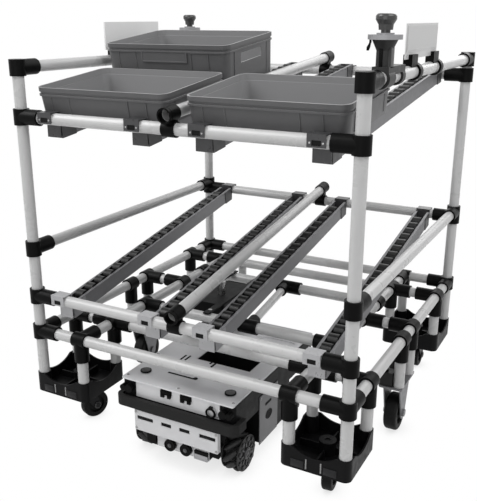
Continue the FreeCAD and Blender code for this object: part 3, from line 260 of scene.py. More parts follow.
# driftMm and grainMm are real sizes; a grain finer than 0.7 mm would not show, so it is drawn that coarse
finishes = {
    # polyethylene skin on steel pipe: smooth, a broad soft highlight
    "coatedPipe": {"dark": "b0b0b0", "light": "bbbbbb", "driftMm": 60, "rough": 0.3, "roughDrift": 0.05,
                   "grainMm": 1.5, "grain": 0.06, "ior": 1.5},
    # moulded black ABS joints: dull, with a faint grey sheen at their edges
    "mouldedJoint": {"dark": "050505", "light": "0a0a0a", "driftMm": 12, "rough": 0.4, "roughDrift": 0.08,
                     "grainMm": 1.0, "grain": 0.25, "specular": 0.07},
    # polypropylene of the corner bases: black, dull, slightly pebbled
    "mouldedBase": {"dark": "070708", "light": "0d0d0e", "driftMm": 20, "rough": 0.44, "roughDrift": 0.08,
                    "grainMm": 1.2, "grain": 0.3, "specular": 0.1},
    # zinc on pressed steel: bright with a cloudy bloom
    "zincPlate": {"dark": "8c8c8e", "light": "a8a8aa", "driftMm": 14, "rough": 0.4, "roughDrift": 0.1,
                  "grainMm": 1.0, "grain": 0.12, "metal": 1.0},
    # the caster forks are pressed steel under black paint
    "paintedSteel": {"dark": "0c0c0d", "light": "161617", "driftMm": 14, "rough": 0.42, "roughDrift": 0.08,
                     "grainMm": 1.0, "grain": 0.2, "specular": 0.15},
    # galvanised sheet of the track channels: grey, half matt, with painted shade deep between the walls
    "galvanised": {"dark": "68686a", "light": "7c7c7e", "driftMm": 18, "rough": 0.5, "roughDrift": 0.08,
                   "grainMm": 1.2, "grain": 0.15, "metal": 0.35, "paintedShade": {"colour": "141414", "reachMm": 30}},
    # acetal rollers: black with a small soft highlight
    "rollerPlastic": {"dark": "0a0a0a", "light": "121212", "driftMm": 9, "rough": 0.38, "roughDrift": 0.08,
                      "grainMm": 1.0, "grain": 0.15, "specular": 0.3},
    # polypropylene tote: soft sheen, faint flow marks, painted light on the inner walls and a painted highlight
    # on the rim
    "totePlastic": {"dark": "505051", "light": "5a5a5b", "driftMm": 45, "rough": 0.42, "roughDrift": 0.07,
                    "grainMm": 1.4, "grain": 0.12, "specular": 0.35, "hollow": "888889", "rim": "8c8c8d"},
    # polyurethane tread: matt black, slightly rough
    "castTread": {"dark": "0b0b0b", "light": "151515", "driftMm": 10, "rough": 0.6, "roughDrift": 0.08,
                  "grainMm": 0.9, "grain": 0.3, "specular": 0.12},
    # rubber of the barrel rollers, scuffed grey by the floor
    "driveRubber": {"dark": "161616", "light": "242424", "driftMm": 8, "rough": 0.6, "roughDrift": 0.1,
                    "grainMm": 0.9, "grain": 0.3, "specular": 0.35},
    # powder coat on the chassis and the latch: dull black
    "blackCoat": {"dark": "070708", "light": "0d0d0e", "driftMm": 25, "rough": 0.5, "roughDrift": 0.06,
                  "grainMm": 1.1, "grain": 0.3, "specular": 0.1},
    # satin anodised aluminium of the deck: pale with a broad soft shine
    "satinAluminium": {"dark": "c4c4c6", "light": "d6d6d8", "driftMm": 50, "rough": 0.42, "roughDrift": 0.06,
                       "grainMm": 0.8, "grain": 0.12, "metal": 0.55},
    # silver lacquer on the folded front panels: bright, half matt
    "silverPanel": {"dark": "bcbcbe", "light": "cccccd", "driftMm": 40, "rough": 0.4, "roughDrift": 0.06,
                    "grainMm": 1.0, "grain": 0.12, "metal": 0.25},
    # the side sheets: the panels' lacquer painted darker grey, as painted shade from the rack
    "shadedSideSheet": {"dark": "5a5a5c", "light": "666668", "driftMm": 40, "rough": 0.42, "roughDrift": 0.06,
                  "grainMm": 1.0, "grain": 0.12, "metal": 0.25},
    # closed foam of the bumper: matt and dark, no highlight to speak of
    "foamBumper": {"dark": "191919", "light": "222222", "driftMm": 16, "rough": 0.7, "roughDrift": 0.06,
                   "grainMm": 1.3, "grain": 0.4, "specular": 0.15},
    # black painted column under a bare turned flange
    "stopColumn": {"dark": "141414", "light": "1e1e1e", "driftMm": 12, "rough": 0.5, "roughDrift": 0.05,
                   "grainMm": 0.8, "grain": 0.1, "specular": 0.35,
                   "zone": {"height": 1019.8, "above": True, "colour": "8e8e90", "metal": 0.7}},
    # zinc cheeks below a black clamp block
    "midBracket": {"dark": "0c0c0c", "light": "141414", "driftMm": 14, "rough": 0.42, "roughDrift": 0.08,
                   "grainMm": 1.0, "grain": 0.2, "specular": 0.25,
                   "zone": {"height": 148.3, "above": False, "colour": "6e6e70", "metal": 0.6}},
    # the hooks are zinc plated, as the lower front ones show; the upper and rear ones are painted dark as shade
    "hookSteel": {"dark": "2c2c2d", "light": "3a3a3c", "driftMm": 9, "rough": 0.34, "roughDrift": 0.08,
                  "grainMm": 1.0, "grain": 0.12,
                  "zone": {"height": 600.0, "above": False, "frontOnly": True,
                           "colour": "a2a2a4", "metal": 0.3}},
    # the noses are bare grey, as the lower front ones show; the upper and rear ones are painted dark as shade
    "trackNose": {"dark": "353536", "light": "424243", "driftMm": 14, "rough": 0.46, "roughDrift": 0.08,
                  "grainMm": 1.0, "grain": 0.15, "specular": 0.4,
                  "zone": {"height": 600.0, "above": False, "frontOnly": True,
                           "colour": "8c8c8e", "metal": 0.3}},
    # polished thermoplastic of the mushroom heads: a small sharp highlight
    "stopHead": {"dark": "2a2a2a", "light": "383838", "driftMm": 10, "rough": 0.22, "roughDrift": 0.04,
                 "grainMm": 0.8, "grain": 0.04, "ior": 1.5},
    # white acrylic sign plates with a slightly greyer outer face
    "signSheet": {"dark": "e0e0e0", "light": "eaeaea", "driftMm": 70, "rough": 0.35, "roughDrift": 0.04,
                  "grainMm": 1.0, "grain": 0.04, "ior": 1.5,
                  "zone": {"axis": "X", "height": 425.4, "above": True, "colour": "bcbcbc", "metal": 0.0}},
    # painted shade: the dark bottom of a slot, where nearly no light reaches; plates of it stand in for slots,
    # vents, grilles and hook windows
    "paintedShadeGap": {"dark": "060606", "light": "0a0a0a", "driftMm": 10, "rough": 0.6, "roughDrift": 0.05,
                "grainMm": 1.0, "grain": 0.1, "specular": 0.15},
    # grey nylon of the axle caps: dull with a faint sheen
    "capGrey": {"dark": "3c3c3d", "light": "4c4c4d", "driftMm": 6, "rough": 0.45, "roughDrift": 0.08,
                "grainMm": 1.0, "grain": 0.2, "specular": 0.35},
    # the bases' outer pads, dulled by knocks
    "wornBase": {"dark": "101011", "light": "1a1a1c", "driftMm": 8, "rough": 0.45, "roughDrift": 0.1,
                 "grainMm": 1.0, "grain": 0.3, "specular": 0.25},
    # raised pale grey strips on the outer walls of the bases
    "paleBaseStrip": {"dark": "747474", "light": "8c8c8c", "driftMm": 6, "rough": 0.5, "roughDrift": 0.08,
                 "grainMm": 1.0, "grain": 0.2, "specular": 0.4},
    # moulded rubber feet on the deck, grey with wear
    "rubberPad": {"dark": "4c4c4c", "light": "606060", "driftMm": 5, "rough": 0.6, "roughDrift": 0.1,
                  "grainMm": 1.2, "grain": 0.4, "specular": 0.3},
    # cast aluminium side plate, tumbled and dulled by use
    "wheelFace": {"dark": "2e2e2f", "light": "4a4a4c", "driftMm": 7, "rough": 0.45, "roughDrift": 0.1,
                  "grainMm": 1.0, "grain": 0.3, "metal": 0.4},
    # laminated paper label, left blank
    "labelSheet": {"dark": "b0b0b0", "light": "bababa", "driftMm": 60, "rough": 0.4, "roughDrift": 0.04,
                   "grainMm": 1.0, "grain": 0.05, "specular": 0.4},
    # smoked polycarbonate in front of a sensor: dark with a sharp highlight
    "smokedLens": {"dark": "2c2c2e", "light": "38383a", "driftMm": 8, "rough": 0.12, "roughDrift": 0.03,
                   "grainMm": 1.0, "grain": 0.02, "ior": 1.58},
    # switch boxes of glass filled nylon: dark grey and dull
    "stopBoxGrey": {"dark": "2a2a2a", "light": "343434", "driftMm": 10, "rough": 0.4, "roughDrift": 0.06,
                    "grainMm": 1.0, "grain": 0.15, "specular": 0.35},
    # ground and zinc plated steel of screws, rivets and the pin: bright
    "groundSteel": {"dark": "9a9a9a", "light": "b2b2b2", "driftMm": 8, "rough": 0.28, "roughDrift": 0.06,
                    "grainMm": 0.7, "grain": 0.08, "metal": 1.0},
}
materials = {name: grainMaterial(name, look) for name, look in finishes.items() if "hollow" not in look}

finishOfSlot = {
    "pipe": "coatedPipe", "joint": "mouldedJoint", "base": "mouldedBase", "caster_steel": "paintedSteel",
    "drive_wheel": "driveRubber", "caster_wheel": "castTread", "track": "galvanised",
    "roller": "rollerPlastic", "bracket": "hookSteel", "end_cap": "trackNose", "tote": "totePlastic",
    "stop_body": "stopColumn", "stop_head": "stopHead", "sign": "signSheet", "chassis": "blackCoat",
    "deck": "satinAluminium", "pad": "mouldedJoint", "well": "blackCoat", "panel": "silverPanel",
    "bumper": "foamBumper", "fitting": "mouldedJoint", "motor": "blackCoat", "battery": "mouldedBase",
    "dock": "blackCoat", "dock_pin": "groundSteel",
}
# the side sheets take a darker copy of the panel lacquer, painted shade
finishOfNode = {"mid_brackets": "midBracket", "side_panels": "shadedSideSheet"}


def dressNodes():
    for sub in frame["record"]["subparts"]:
        obj = nodes[sub["node"]]
        obj.data.materials.clear()
        finish = finishOfNode.get(sub["node"], finishOfSlot[sub["material_slot"]])
        if "hollow" in finishes[finish]:
            # each tote has its own middle, from which its inner walls are told
            low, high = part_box(sub["node"])
            middle = [(a + b) / 2 for a, b in zip(low, high)]
            look = {**finishes[finish], "middle": middle}
            materials[sub["node"]] = grainMaterial(sub["node"] + "Plastic", look)
            finish = sub["node"]
        obj.data.materials.append(materials[finish])


dressNodes()
print("frame nodes dressed")


# facing: how squarely a face looks along a way to be picked; edges sharper than the angle are bevelled
modelling = {"facing": 0.98, "sharpAngle": 35}


def mm(*values):
    return tuple(v / 1000 for v in values)


def clearSelection():
    if bpy.context.object and bpy.context.object.mode == "EDIT":
        bpy.ops.object.mode_set(mode="OBJECT")
    bpy.ops.object.select_all(action="DESELECT")


def pick(obj):
    clearSelection()
    obj.select_set(True)
    bpy.context.view_layer.objects.active = obj


def settle():
    # the picked object ends at the origin, unturned and unscaled
    bpy.ops.object.transform_apply(location=True, rotation=True, scale=True)


def addBlock(corner, opposite):
    # a cube primitive between two corners in mm, whichever is the lower
    clearSelection()
    mid = [(a + b) / 2 for a, b in zip(corner, opposite)]
    bpy.ops.mesh.primitive_cube_add(size=1, location=mm(*mid))
    bpy.context.object.scale = mm(*[abs(b - a) for a, b in zip(corner, opposite)])
    settle()
    return bpy.context.object


turns = {"x": (0, math.pi / 2, 0), "y": (math.pi / 2, 0, 0), "z": (0, 0, 0)}


def addRound(place, radius, depth, axis, sides):
    # a cylinder primitive whose middle is at place, all in mm
    clearSelection()
    bpy.ops.mesh.primitive_cylinder_add(vertices=sides, radius=radius / 1000, depth=depth / 1000,
                                        location=mm(*place), rotation=turns[axis])
    settle()
    return bpy.context.object


def pickFaces(obj, way):
    # edit mode with only the faces selected that look along way
    pick(obj)
    bpy.ops.object.mode_set(mode="EDIT")
    bpy.context.tool_settings.mesh_select_mode = (False, False, True)
    bpy.ops.mesh.select_all(action="DESELECT")
    bpy.ops.object.mode_set(mode="OBJECT")
    for face in obj.data.polygons:
        face.select = face.normal.dot(way) > modelling["facing"]
    bpy.ops.object.mode_set(mode="EDIT")


def pressIn(obj, way, steps):
    # the faces along way are inset and moved, step by step: (inset, depth) in mm
    way = Vector(way)
    pickFaces(obj, way)
    for inset, depth in steps:
        bpy.ops.mesh.inset(thickness=inset / 1000, depth=0)
        bpy.ops.mesh.extrude_region_move(TRANSFORM_OT_translate={"value": way * depth / 1000})
    bpy.ops.object.mode_set(mode="OBJECT")


def softenEdges(obj, width, segments):
    bevel = obj.modifiers.new("softEdge", "BEVEL")
    bevel.width = width / 1000
    bevel.segments = segments
    bevel.limit_method = "ANGLE"
    bevel.angle_limit = math.radians(modelling["sharpAngle"])
    pick(obj)
    bpy.ops.object.modifier_apply(modifier=bevel.name)


def addHead(foot, way, head):
    # a round head that stands on a face: foot is its middle on that face
    middle = Vector(foot) + Vector(way) * head["depth"] / 2
    axis = "xyz"[[abs(v) for v in way].index(1)]
    obj = addRound(middle, head["radius"], head["depth"], axis, head["sides"])
    if "press" in head:
        pressIn(obj, way, head["press"])
    if "edge" in head:
        softenEdges(obj, *head["edge"])
    return obj


def copyTo(obj, x, y, z):
    # a copy with its own mesh, moved by mm
    new = obj.copy()
    new.data = obj.data.copy()
    bpy.context.scene.collection.objects.link(new)
    pick(new)
    bpy.ops.transform.translate(value=mm(x, y, z))
    settle()
    return new


def atEach(part, places):
    # the part stands at the first place, and copies of it go to the others
    first = Vector(places[0])
    return [part] + [copyTo(part, *(Vector(place) - first)) for place in places[1:]]


def setAtEach(parts, places):
    # one list of parts for each place
    return [list(held) for held in zip(*[atEach(part, places) for part in parts])]


def makePiece(name, parts, body, finish):
    # parts become one piece with its finish, on the body that carries it
    clearSelection()
    for part in parts:
        part.select_set(True)
    bpy.context.view_layer.objects.active = parts[0]
    if len(parts) > 1:
        bpy.ops.object.join()
    obj = bpy.context.object
    settle()
    bpy.ops.object.shade_smooth_by_angle(angle=math.radians(modelling["sharpAngle"]))
    obj.name = name
    obj.data.materials.clear()
    obj.data.materials.append(materials[finish])
    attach(obj, body)


bodyOf = {node: name for name, held in frame["record"]["behaviour"]["bodies"].items() for node in held}
up = (0, 0, 1)
ahead = (0, -1, 0)


deckWork = {
    "top": 217.0, "padTop": 220.0,
    "slots": [(-68, 6, -374, 2.6), (-82, -77, -286, 15), (-70, -65, -283, 14),
              (9, 15, -288, 12), (-2, 3, -280, 6)],  # from x, to x, y, half width
    "slotHigh": 0.8, "slotRound": 0.3, "slotSegments": 3, "slotPress": [(0.9, -0.6)],
    "keyhole": {"place": (10, -371), "radius": 6.0, "depth": 0.8, "sides": 28, "press": [(0.9, -0.6)]},
    "screws": [(149, -431), (-149, -431), (149, -300), (-149, -300), (149, -150), (-149, -190),
               (149, 2), (-149, 2), (0, 2), (0, -431)],
    "screw": {"radius": 3.6, "depth": 0.8, "sides": 24, "press": [(0.6, 0.3), (1.1, -0.9)]},
    "pads": [(-121, -394), (121, -394), (-140, -84)],
    "pad": {"radius": 11.5, "depth": 1.2, "sides": 40, "press": [(1.2, 0.5), (3.0, -0.6), (1.5, 0.5)],
            "edge": (0.25, 2)},
}


def addDeckWork():
    w = deckWork
    robot = bodyOf["robot_deck"]
    # the slots and the keyhole are raised dark plates, whose darkness is painted shade
    slots = []
    for x0, x1, y, half in w["slots"]:
        slot = addBlock((x0, y - half, w["top"]), (x1, y + half, w["top"] + w["slotHigh"]))
        softenEdges(slot, min(x1 - x0, 2 * half) * w["slotRound"], w["slotSegments"])
        pressIn(slot, up, w["slotPress"])
        slots.append(slot)
    slots.append(addHead((*w["keyhole"]["place"], w["top"]), up, w["keyhole"]))
    makePiece("deckSlots", slots, robot, "paintedShadeGap")
    places = [(x, y, w["top"]) for x, y in w["screws"]]
    makePiece("deckScrews", atEach(addHead(places[0], up, w["screw"]), places), robot, "groundSteel")
    places = [(x, y, w["padTop"]) for x, y in w["pads"]]
    makePiece("padFaces", atEach(addHead(places[0], up, w["pad"]), places), robot, "rubberPad")


frontWork = {
    "ports": [(-28, -445.0, 209.5), (28, -445.0, 209.5)],  # the top of each plug, on the panel's face
    "plug": (15, 11), "plugOut": 2.5, "plugIn": 3, "plugPress": [(1.5, -1.2), (2.2, 1.8)],
    "legs": [(-14, -4), (5, 14)], "legHigh": (9, 18), "legOut": 4, "legIn": 2, "legPress": [(1.2, 0.8)],
    "plugEdge": (0.7, 2),
    "sensors": [(-17, -452.0, 67), (28, -452.0, 67)],
    "ring": {"radius": 15.2, "depth": 1.8, "sides": 48, "press": [(2.4, -1.2), (3.6, 0.5), (2.2, -0.9)],
             "edge": (0.3, 2)},
    "lensSunk": 0.4,
    "lens": {"radius": 5.4, "depth": 1.6, "sides": 32, "press": [(1.5, 0.6), (1.5, 0.3)], "edge": (0.4, 2)},
    "panelFace": -455.0, "vents": [(-108, -62), (-38, -9), (14, 43), (70, 114)], "ventHigh": (117, 127),
    "ventGap": 0.6, "ventDeep": (3, 4.2), "ventPress": [(1.2, 1.2)],
    "screws": [(-112, 92), (116, 92), (-112, 136), (116, 136)],
    "screw": {"radius": 3.2, "depth": 1.2, "sides": 20, "press": [(0.8, 0.4), (0.9, -0.9)]},
}


def addPlug():
    w = frontWork
    x, face, top = w["ports"][0]
    half, high = w["plug"]
    body = addBlock((x - half, face - w["plugOut"], top - high), (x + half, face + w["plugIn"], top))
    pressIn(body, ahead, w["plugPress"])
    parts = [body]
    for a, b in w["legs"]:
        leg = addBlock((x + a, face - w["legOut"], top - w["legHigh"][1]),
                       (x + b, face + w["legIn"], top - w["legHigh"][0]))
        pressIn(leg, ahead, w["legPress"])
        parts.append(leg)
    for part in parts:
        softenEdges(part, *w["plugEdge"])
    return parts


def addFrontWork():
    w = frontWork
    robot = bodyOf["robot_chassis"]
    makePiece("portPlugs", sum(setAtEach(addPlug(), w["ports"]), []), robot, "mouldedJoint")
    ring = addHead(w["sensors"][0], ahead, w["ring"])
    makePiece("sensorRings", atEach(ring, w["sensors"]), robot, "mouldedJoint")
    x, face, z = w["sensors"][0]
    lens = addHead((x, face - w["lensSunk"], z), ahead, w["lens"])
    makePiece("sensorLenses", atEach(lens, w["sensors"]), robot, "smokedLens")
    # dark blocks behind the vents, whose darkness is painted shade
    backs = []
    (z0, z1), gap, face = w["ventHigh"], w["ventGap"], w["panelFace"]
    for x0, x1 in w["vents"]:
        back = addBlock((x0 + gap, face + w["ventDeep"][0], z0 + gap),
                        (x1 - gap, face + w["ventDeep"][1], z1 - gap))
        pressIn(back, ahead, w["ventPress"])
        backs.append(back)
    makePiece("ventBacks", backs, robot, "paintedShadeGap")
    places = [(x, face, z) for x, z in w["screws"]]
    screws = atEach(addHead(places[0], ahead, w["screw"]), places)
    makePiece("panelScrews", screws, robot, "groundSteel")


sideWork = {
    "face": 160.0, "oval": (-266.5, 109.5), "ovalWide": 35.0, "ovalHigh": 25.0, "ovalSides": 48,
    "ovalMiddle": 0.4, "ovalPress": [(2.0, -0.7)],
    "slats": [(13.5, -5.5), (15, 0), (13.5, 5.5)], "slatHalf": 0.9,  # half width and height over the middle
    "slotY": (-286, -254), "slotZ": (141, 148), "slotHigh": 0.8, "slotEdge": (1.6, 3),
    "slotPress": [(1.0, -0.5)],
    "screws": [(-311, 52), (-222, 52), (-311, 172), (-222, 172)],
    "screw": {"radius": 3.0, "depth": 1.0, "sides": 20, "press": [(0.7, 0.4), (0.9, -0.8)]},
}


def addOval(s):
    w = sideWork
    oval = addRound((0, 0, 0), 0.5, 1.0, "x", w["ovalSides"])
    oval.scale = (1, w["ovalWide"], w["ovalHigh"])
    oval.location = mm(s * (w["face"] + w["ovalMiddle"]), *w["oval"])
    pick(oval)
    settle()
    pressIn(oval, (s, 0, 0), w["ovalPress"])
    return oval


def addSideWork():
    w = sideWork
    robot = bodyOf["side_panels"]
    y, z = w["oval"]
    # the grille openings, slots and slats are all in one dark colour, painted shade
    grilles, screws = [], []
    for s in (-1, 1):
        face = s * w["face"]
        slot = addBlock((face, w["slotY"][0], w["slotZ"][0]),
                        (face + s * w["slotHigh"], w["slotY"][1], w["slotZ"][1]))
        softenEdges(slot, *w["slotEdge"])
        pressIn(slot, (s, 0, 0), w["slotPress"])
        grilles += [addOval(s), slot]
        thick = w["slatHalf"]
        grilles += [addBlock((face, y - half, z + rise - thick), (face + s * thick, y + half, z + rise + thick))
                    for half, rise in w["slats"]]
        places = [(face, a, b) for a, b in w["screws"]]
        screws += atEach(addHead(places[0], (s, 0, 0), w["screw"]), places)
    makePiece("sideGrilles", grilles, robot, "paintedShadeGap")
    makePiece("sideScrews", screws, robot, "groundSteel")


# pressed shells: one round the lower part of the plug, one latch plate beside the eye
shellWork = {"shells": [((51.4, -451.0, 51.6), (88.6, -444.4, 66.0)),
                        ((105, -446.6, 174), (121, -444.2, 187))],
             "press": [(2.0, -0.8), (1.5, 0.5)], "edge": (0.5, 2)}


def addFrontShells():
    w = shellWork
    shells = []
    for low, high in w["shells"]:
        shell = addBlock(low, high)
        pressIn(shell, ahead, w["press"])
        softenEdges(shell, *w["edge"])
        shells.append(shell)
    makePiece("frontShells", shells, bodyOf["front_panels"], "zincPlate")


addDeckWork()
addFrontWork()
addSideWork()
addFrontShells()
print("robot trim modelled")


baseWork = {
    "across": 358, "wall": 450.6, "sunk": 0.5,
    "strapApart": 35.0, "strapWide": 3.2, "strapHigh": (117.0, 141.0), "strapOut": 1.1,
    "strapPress": [(0.7, 0.4)], "strapEdge": (0.4, 2),
    "padNear": -54, "padWide": 31, "padApart": 77, "padHigh": (116.0, 134.0), "padOut": 1.4,
    "padPress": [(2.5, 0.6)], "padEdge": (0.6, 2),
}
cornerNames = {"front_left": (-1, -1), "front_right": (1, -1), "rear_left": (-1, 1), "rear_right": (1, 1)}


def addBasePlate(near, wide, high, out, sy):
    # an upright plate on the outer wall of the left base in this row
    w = baseWork
    return addBlock((near, sy * (w["wall"] - w["sunk"]), high[0]),
                    (near + wide, sy * (w["wall"] + out), high[1]))


def addBaseTrim():
    w = baseWork
    straps, pads = {}, {}
    bothBases = [(0, 0, 0), (2 * w["across"], 0, 0)]
    for row, sy in (("front", -1), ("rear", 1)):
        near = -w["across"] - (w["strapApart"] + w["strapWide"]) / 2
        strap = addBasePlate(near, w["strapWide"], w["strapHigh"], w["strapOut"], sy)
        pressIn(strap, (0, sy, 0), w["strapPress"])
        softenEdges(strap, *w["strapEdge"])
        strapPair = atEach(strap, [(0, 0, 0), (w["strapApart"], 0, 0)])
        pad = addBasePlate(w["padNear"] - w["across"], w["padWide"], w["padHigh"], w["padOut"], sy)
        pressIn(pad, (0, sy, 0), w["padPress"])
        softenEdges(pad, *w["padEdge"])
        padPair = atEach(pad, [(0, 0, 0), (w["padApart"], 0, 0)])
        straps[row + "_left"], straps[row + "_right"] = setAtEach(strapPair, bothBases)
        pads[row + "_left"], pads[row + "_right"] = setAtEach(padPair, bothBases)
    for name in cornerNames:
        body = bodyOf[name + "_base"]
        makePiece(name + "_base_straps", straps[name], body, "paleBaseStrip")
        makePiece(name + "_base_pads", pads[name], body, "wornBase")


casterWork = {
    "pivot": (358, 367), "trail": 34.0, "axleZ": 37.5, "outer": 17.2,
    "cap": {"radius": 10.0, "depth": 2.6, "sides": 32, "press": [(1.6, 0.8), (2.0, -1.0)], "edge": (0.5, 2)},
    "turn": {"front_left": -20, "front_right": 5, "rear_left": 0, "rear_right": 0},
}


def addCasterCaps():
    # both caps of the first caster are copied to the others, and then turned with their fork
    w = casterWork
    px, py = w["pivot"]
    caps = [addHead((-px + s * w["outer"], -py + w["trail"], w["axleZ"]), (s, 0, 0), w["cap"]) for s in (-1, 1)]
    places = [(sx * px, sy * py, 0) for sx, sy in cornerNames.values()]
    for name, place, pair in zip(cornerNames, places, setAtEach(caps, places)):
        for cap in pair:
            pick(cap)
            bpy.ops.transform.rotate(value=-math.radians(w["turn"][name]), orient_axis="Z",
                                     center_override=mm(*place))
            settle()
        makePiece(name + "_caster_caps", pair, bodyOf[name + "_fork"], "capGrey")


addBaseTrim()
addCasterCaps()
print("corner bases finished")


wheelWork = {
    "rollers": 9, "axleZ": 48.0, "sunk": 0.4, "ring": 36.0,
    "hub": {"radius": 15.0, "depth": 2.4, "sides": 40, "press": [(2.0, 1.2), (4.5, -1.4), (2.0, 1.2)],
            "edge": (0.5, 2)},
    "boss": {"radius": 5.6, "depth": 2.0, "sides": 24, "press": [(1.4, -0.6), (1.4, 0.9)], "edge": (0.35, 2)},
    "spoke": (18.0, 31.0), "spokeHalf": (1.2, 2.2), "spokeEdge": (0.5, 2),
}


def wheelPlace(node, s):
    # the middle of the outer face of a drive wheel in mm
    low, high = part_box(node)
    return (high[0] if s > 0 else low[0]) * 1000, (low[1] + high[1]) * 500, wheelWork["axleZ"]


def addWheelFace(x, y, z, s):
    w = wheelWork
    foot = x - s * w["sunk"]
    parts = [addHead((foot, y, z), (s, 0, 0), w["hub"])]
    angles = [2 * math.pi * i / w["rollers"] for i in range(w["rollers"])]
    ring = [(foot, y + w["ring"] * math.cos(a), z + w["ring"] * math.sin(a)) for a in angles]
    parts += atEach(addHead(ring[0], (s, 0, 0), w["boss"]), ring)
    near, far = w["spoke"]
    thick, half = w["spokeHalf"]
    spoke = addBlock((x - thick, y + near, z - half), (x + thick, y + far, z + half))
    softenEdges(spoke, *w["spokeEdge"])
    for a, part in zip(angles, atEach(spoke, [(0, 0, 0)] * w["rollers"])):
        pick(part)
        bpy.ops.transform.rotate(value=a + math.pi / w["rollers"], orient_axis="X",
                                 center_override=mm(x, y, z))
        settle()
        parts.append(part)
    return parts


def addWheelFaces():
    # the faces of both front wheels are modelled, and the rear ones are their copies
    faces, sides = {}, (("left", -1), ("right", 1))
    for side, s in sides:
        faces["front_" + side] = addWheelFace(*wheelPlace("front_" + side + "_drive_wheel", s), s)
    for side, s in sides:
        places = [wheelPlace(row + side + "_drive_wheel", s) for row in ("front_", "rear_")]
        faces["rear_" + side] = setAtEach(faces["front_" + side], places)[1]
    for name in cornerNames:
        node = name + "_drive_wheel"
        makePiece(node + "_face", faces[name], bodyOf[node], "wheelFace")


addWheelFaces()
print("drive wheel faces finished")


hookWork = {
    # from the front hook's x to the rear hook's, and the heights of both rails
    "upper": {"tracks": [(-340, -340), (-92, -92), (73, 73), (340, 340)], "rails": (834, 905)},
    "lower": {"tracks": [(-345, -345), (-78, -78), (73, 73), (345, 338)], "rails": (378, 491)},
    "lip": 448.4, "windowShadeOut": 1.5, "windowShadeHalf": 9.7, "windowShadeZ": (-6.4, 4.0), "windowShadePress": [(1.6, -0.5)],
    "rivetX": 14.0, "rivetZ": -1.0, "rivetFoot": 450.0,
    "rivet": {"radius": 2.2, "depth": 1.2, "sides": 16, "edge": (0.5, 2)},
}


def addHookWork():
    w = hookWork
    windowShades, rivets = [], []
    for end, s in ((0, -1), (1, 1)):
        hooks = [(track[end], 0, deck["rails"][end])
                 for deck in (w["upper"], w["lower"]) for track in deck["tracks"]]
        x, _, z = hooks[0]
        low, high = w["windowShadeZ"]
        # a dark plate fills each hook's window: painted shade
        windowShade = addBlock((x - w["windowShadeHalf"], s * w["lip"], z + low),
                         (x + w["windowShadeHalf"], s * (w["lip"] + w["windowShadeOut"]), z + high))
        pressIn(windowShade, (0, s, 0), w["windowShadePress"])
        windowShades += atEach(windowShade, hooks)
        rivet = addHead((x - w["rivetX"], s * w["rivetFoot"], z + w["rivetZ"]), (0, s, 0), w["rivet"])
        pair = atEach(rivet, [(0, 0, 0), (2 * w["rivetX"], 0, 0)])
        rivets += sum(setAtEach(pair, hooks), [])
    makePiece("hookWindowShades", windowShades, "rack", "paintedShadeGap")
    makePiece("hookRivets", rivets, "rack", "groundSteel")


addHookWork()
print("track hooks finished")


latchWork = {
    "top": 294.0, "fromSide": 12, "fromEnd": 26,
    "bolt": {"radius": 6.0, "depth": 4.4, "sides": 6, "press": [(1.2, 0.6)], "edge": (0.5, 2)},
}


def addLatchBolts():
    w = latchWork
    low, high = [[v * 1000 for v in corner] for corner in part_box("dock_housing")]
    places = [(x, y, w["top"]) for x in (low[0] + w["fromSide"], high[0] - w["fromSide"])
              for y in (low[1] + w["fromEnd"], high[1] - w["fromEnd"])]
    bolts = atEach(addHead(places[0], up, w["bolt"]), places)
    makePiece("latchBolts", bolts, bodyOf["dock_housing"], "groundSteel")


addLatchBolts()
print("latch finished")


stopWork = {
    "stops": {"right": (425, -331, 0), "left": (-425, 326, 0)},
    "box": ((7.0, -11.0, 968.0), (17.0, 9.0, 1006.0)), "boxPress": [(2.0, -0.6)], "boxEdge": (1.2, 3),
    "cover": ((-5.0, -17.5, 964.0), (2.0, -12.0, 1004.0)), "coverPress": [(1.4, 0.8)], "coverEdge": (0.8, 2),
    # the lever hangs under the edge of the flange: how far out, where it starts, and each pull
    "leverOut": (24.5, 13.3), "lever": ((-2, -2, 1015.0), (2, 2, 1020.5)),
    "leverPulls": [(-1.2, -3.5, 1.0), (-2.2, -5.5, 1.5), (-1.2, -6.5, 0.7)],  # x, z, growth
    "leverEdge": (0.9, 3),
}


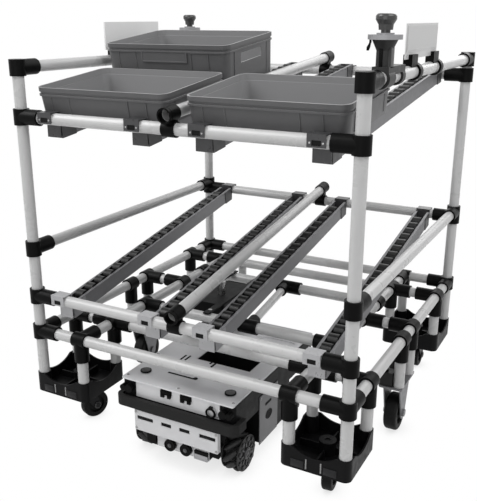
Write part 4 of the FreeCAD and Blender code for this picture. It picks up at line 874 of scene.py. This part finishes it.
def blockAt(place, corners):
    # a block whose two corners are told from place
    return addBlock(*[tuple(Vector(place) + Vector(corner)) for corner in corners])


def addLever(place):
    w = stopWork
    lever = blockAt(place, w["lever"])
    pickFaces(lever, Vector((0, 0, -1)))
    for x, z, growth in w["leverPulls"]:
        bpy.ops.mesh.extrude_region_move(TRANSFORM_OT_translate={"value": mm(x, 0, z)})
        bpy.ops.transform.resize(value=(growth, growth, 1))
    bpy.ops.object.mode_set(mode="OBJECT")
    softenEdges(lever, *w["leverEdge"])
    return lever


def addStops():
    w = stopWork
    places = list(w["stops"].values())
    box = blockAt(places[0], w["box"])
    pressIn(box, ahead, w["boxPress"])
    softenEdges(box, *w["boxEdge"])
    cover = blockAt(places[0], w["cover"])
    pressIn(cover, ahead, w["coverPress"])
    softenEdges(cover, *w["coverEdge"])
    # the levers of the two stops face each other across the rack
    outX, outY = w["leverOut"]
    levers = [(x - s * outX, y - s * outY, z) for (x, y, z), s in zip(places, (1, -1))]
    lever = addLever(levers[0])
    rows = zip(w["stops"], atEach(box, places), atEach(cover, places), atEach(lever, levers))
    for side, ownBox, ownCover, ownLever in rows:
        body = bodyOf[side + "_stop_base"]
        makePiece(side + "_stop_switch_box", [ownBox], body, "stopBoxGrey")
        makePiece(side + "_stop_cover", [ownCover, ownLever], body, "mouldedJoint")


addStops()
print("emergency stops finished")


labelWork = {"signs": [(425, -64, 1), (-425, 22, -1)], "face": 2.1, "thick": 0.4, "long": 243.0,
             "high": (992.0, 1043.0), "press": [(2.5, 0.15), (0.8, -0.15)], "edge": (0.1, 1)}


def addLabels():
    w = labelWork
    sheets = []
    for x, y, s in w["signs"]:
        near = x + s * w["face"]
        sheet = addBlock((near, y - w["long"] / 2, w["high"][0]),
                         (near + s * w["thick"], y + w["long"] / 2, w["high"][1]))
        pressIn(sheet, (s, 0, 0), w["press"])
        softenEdges(sheet, *w["edge"])
        sheets.append(sheet)
    makePiece("labelSheets", sheets, "rack", "labelSheet")


addLabels()
print("labels finished")
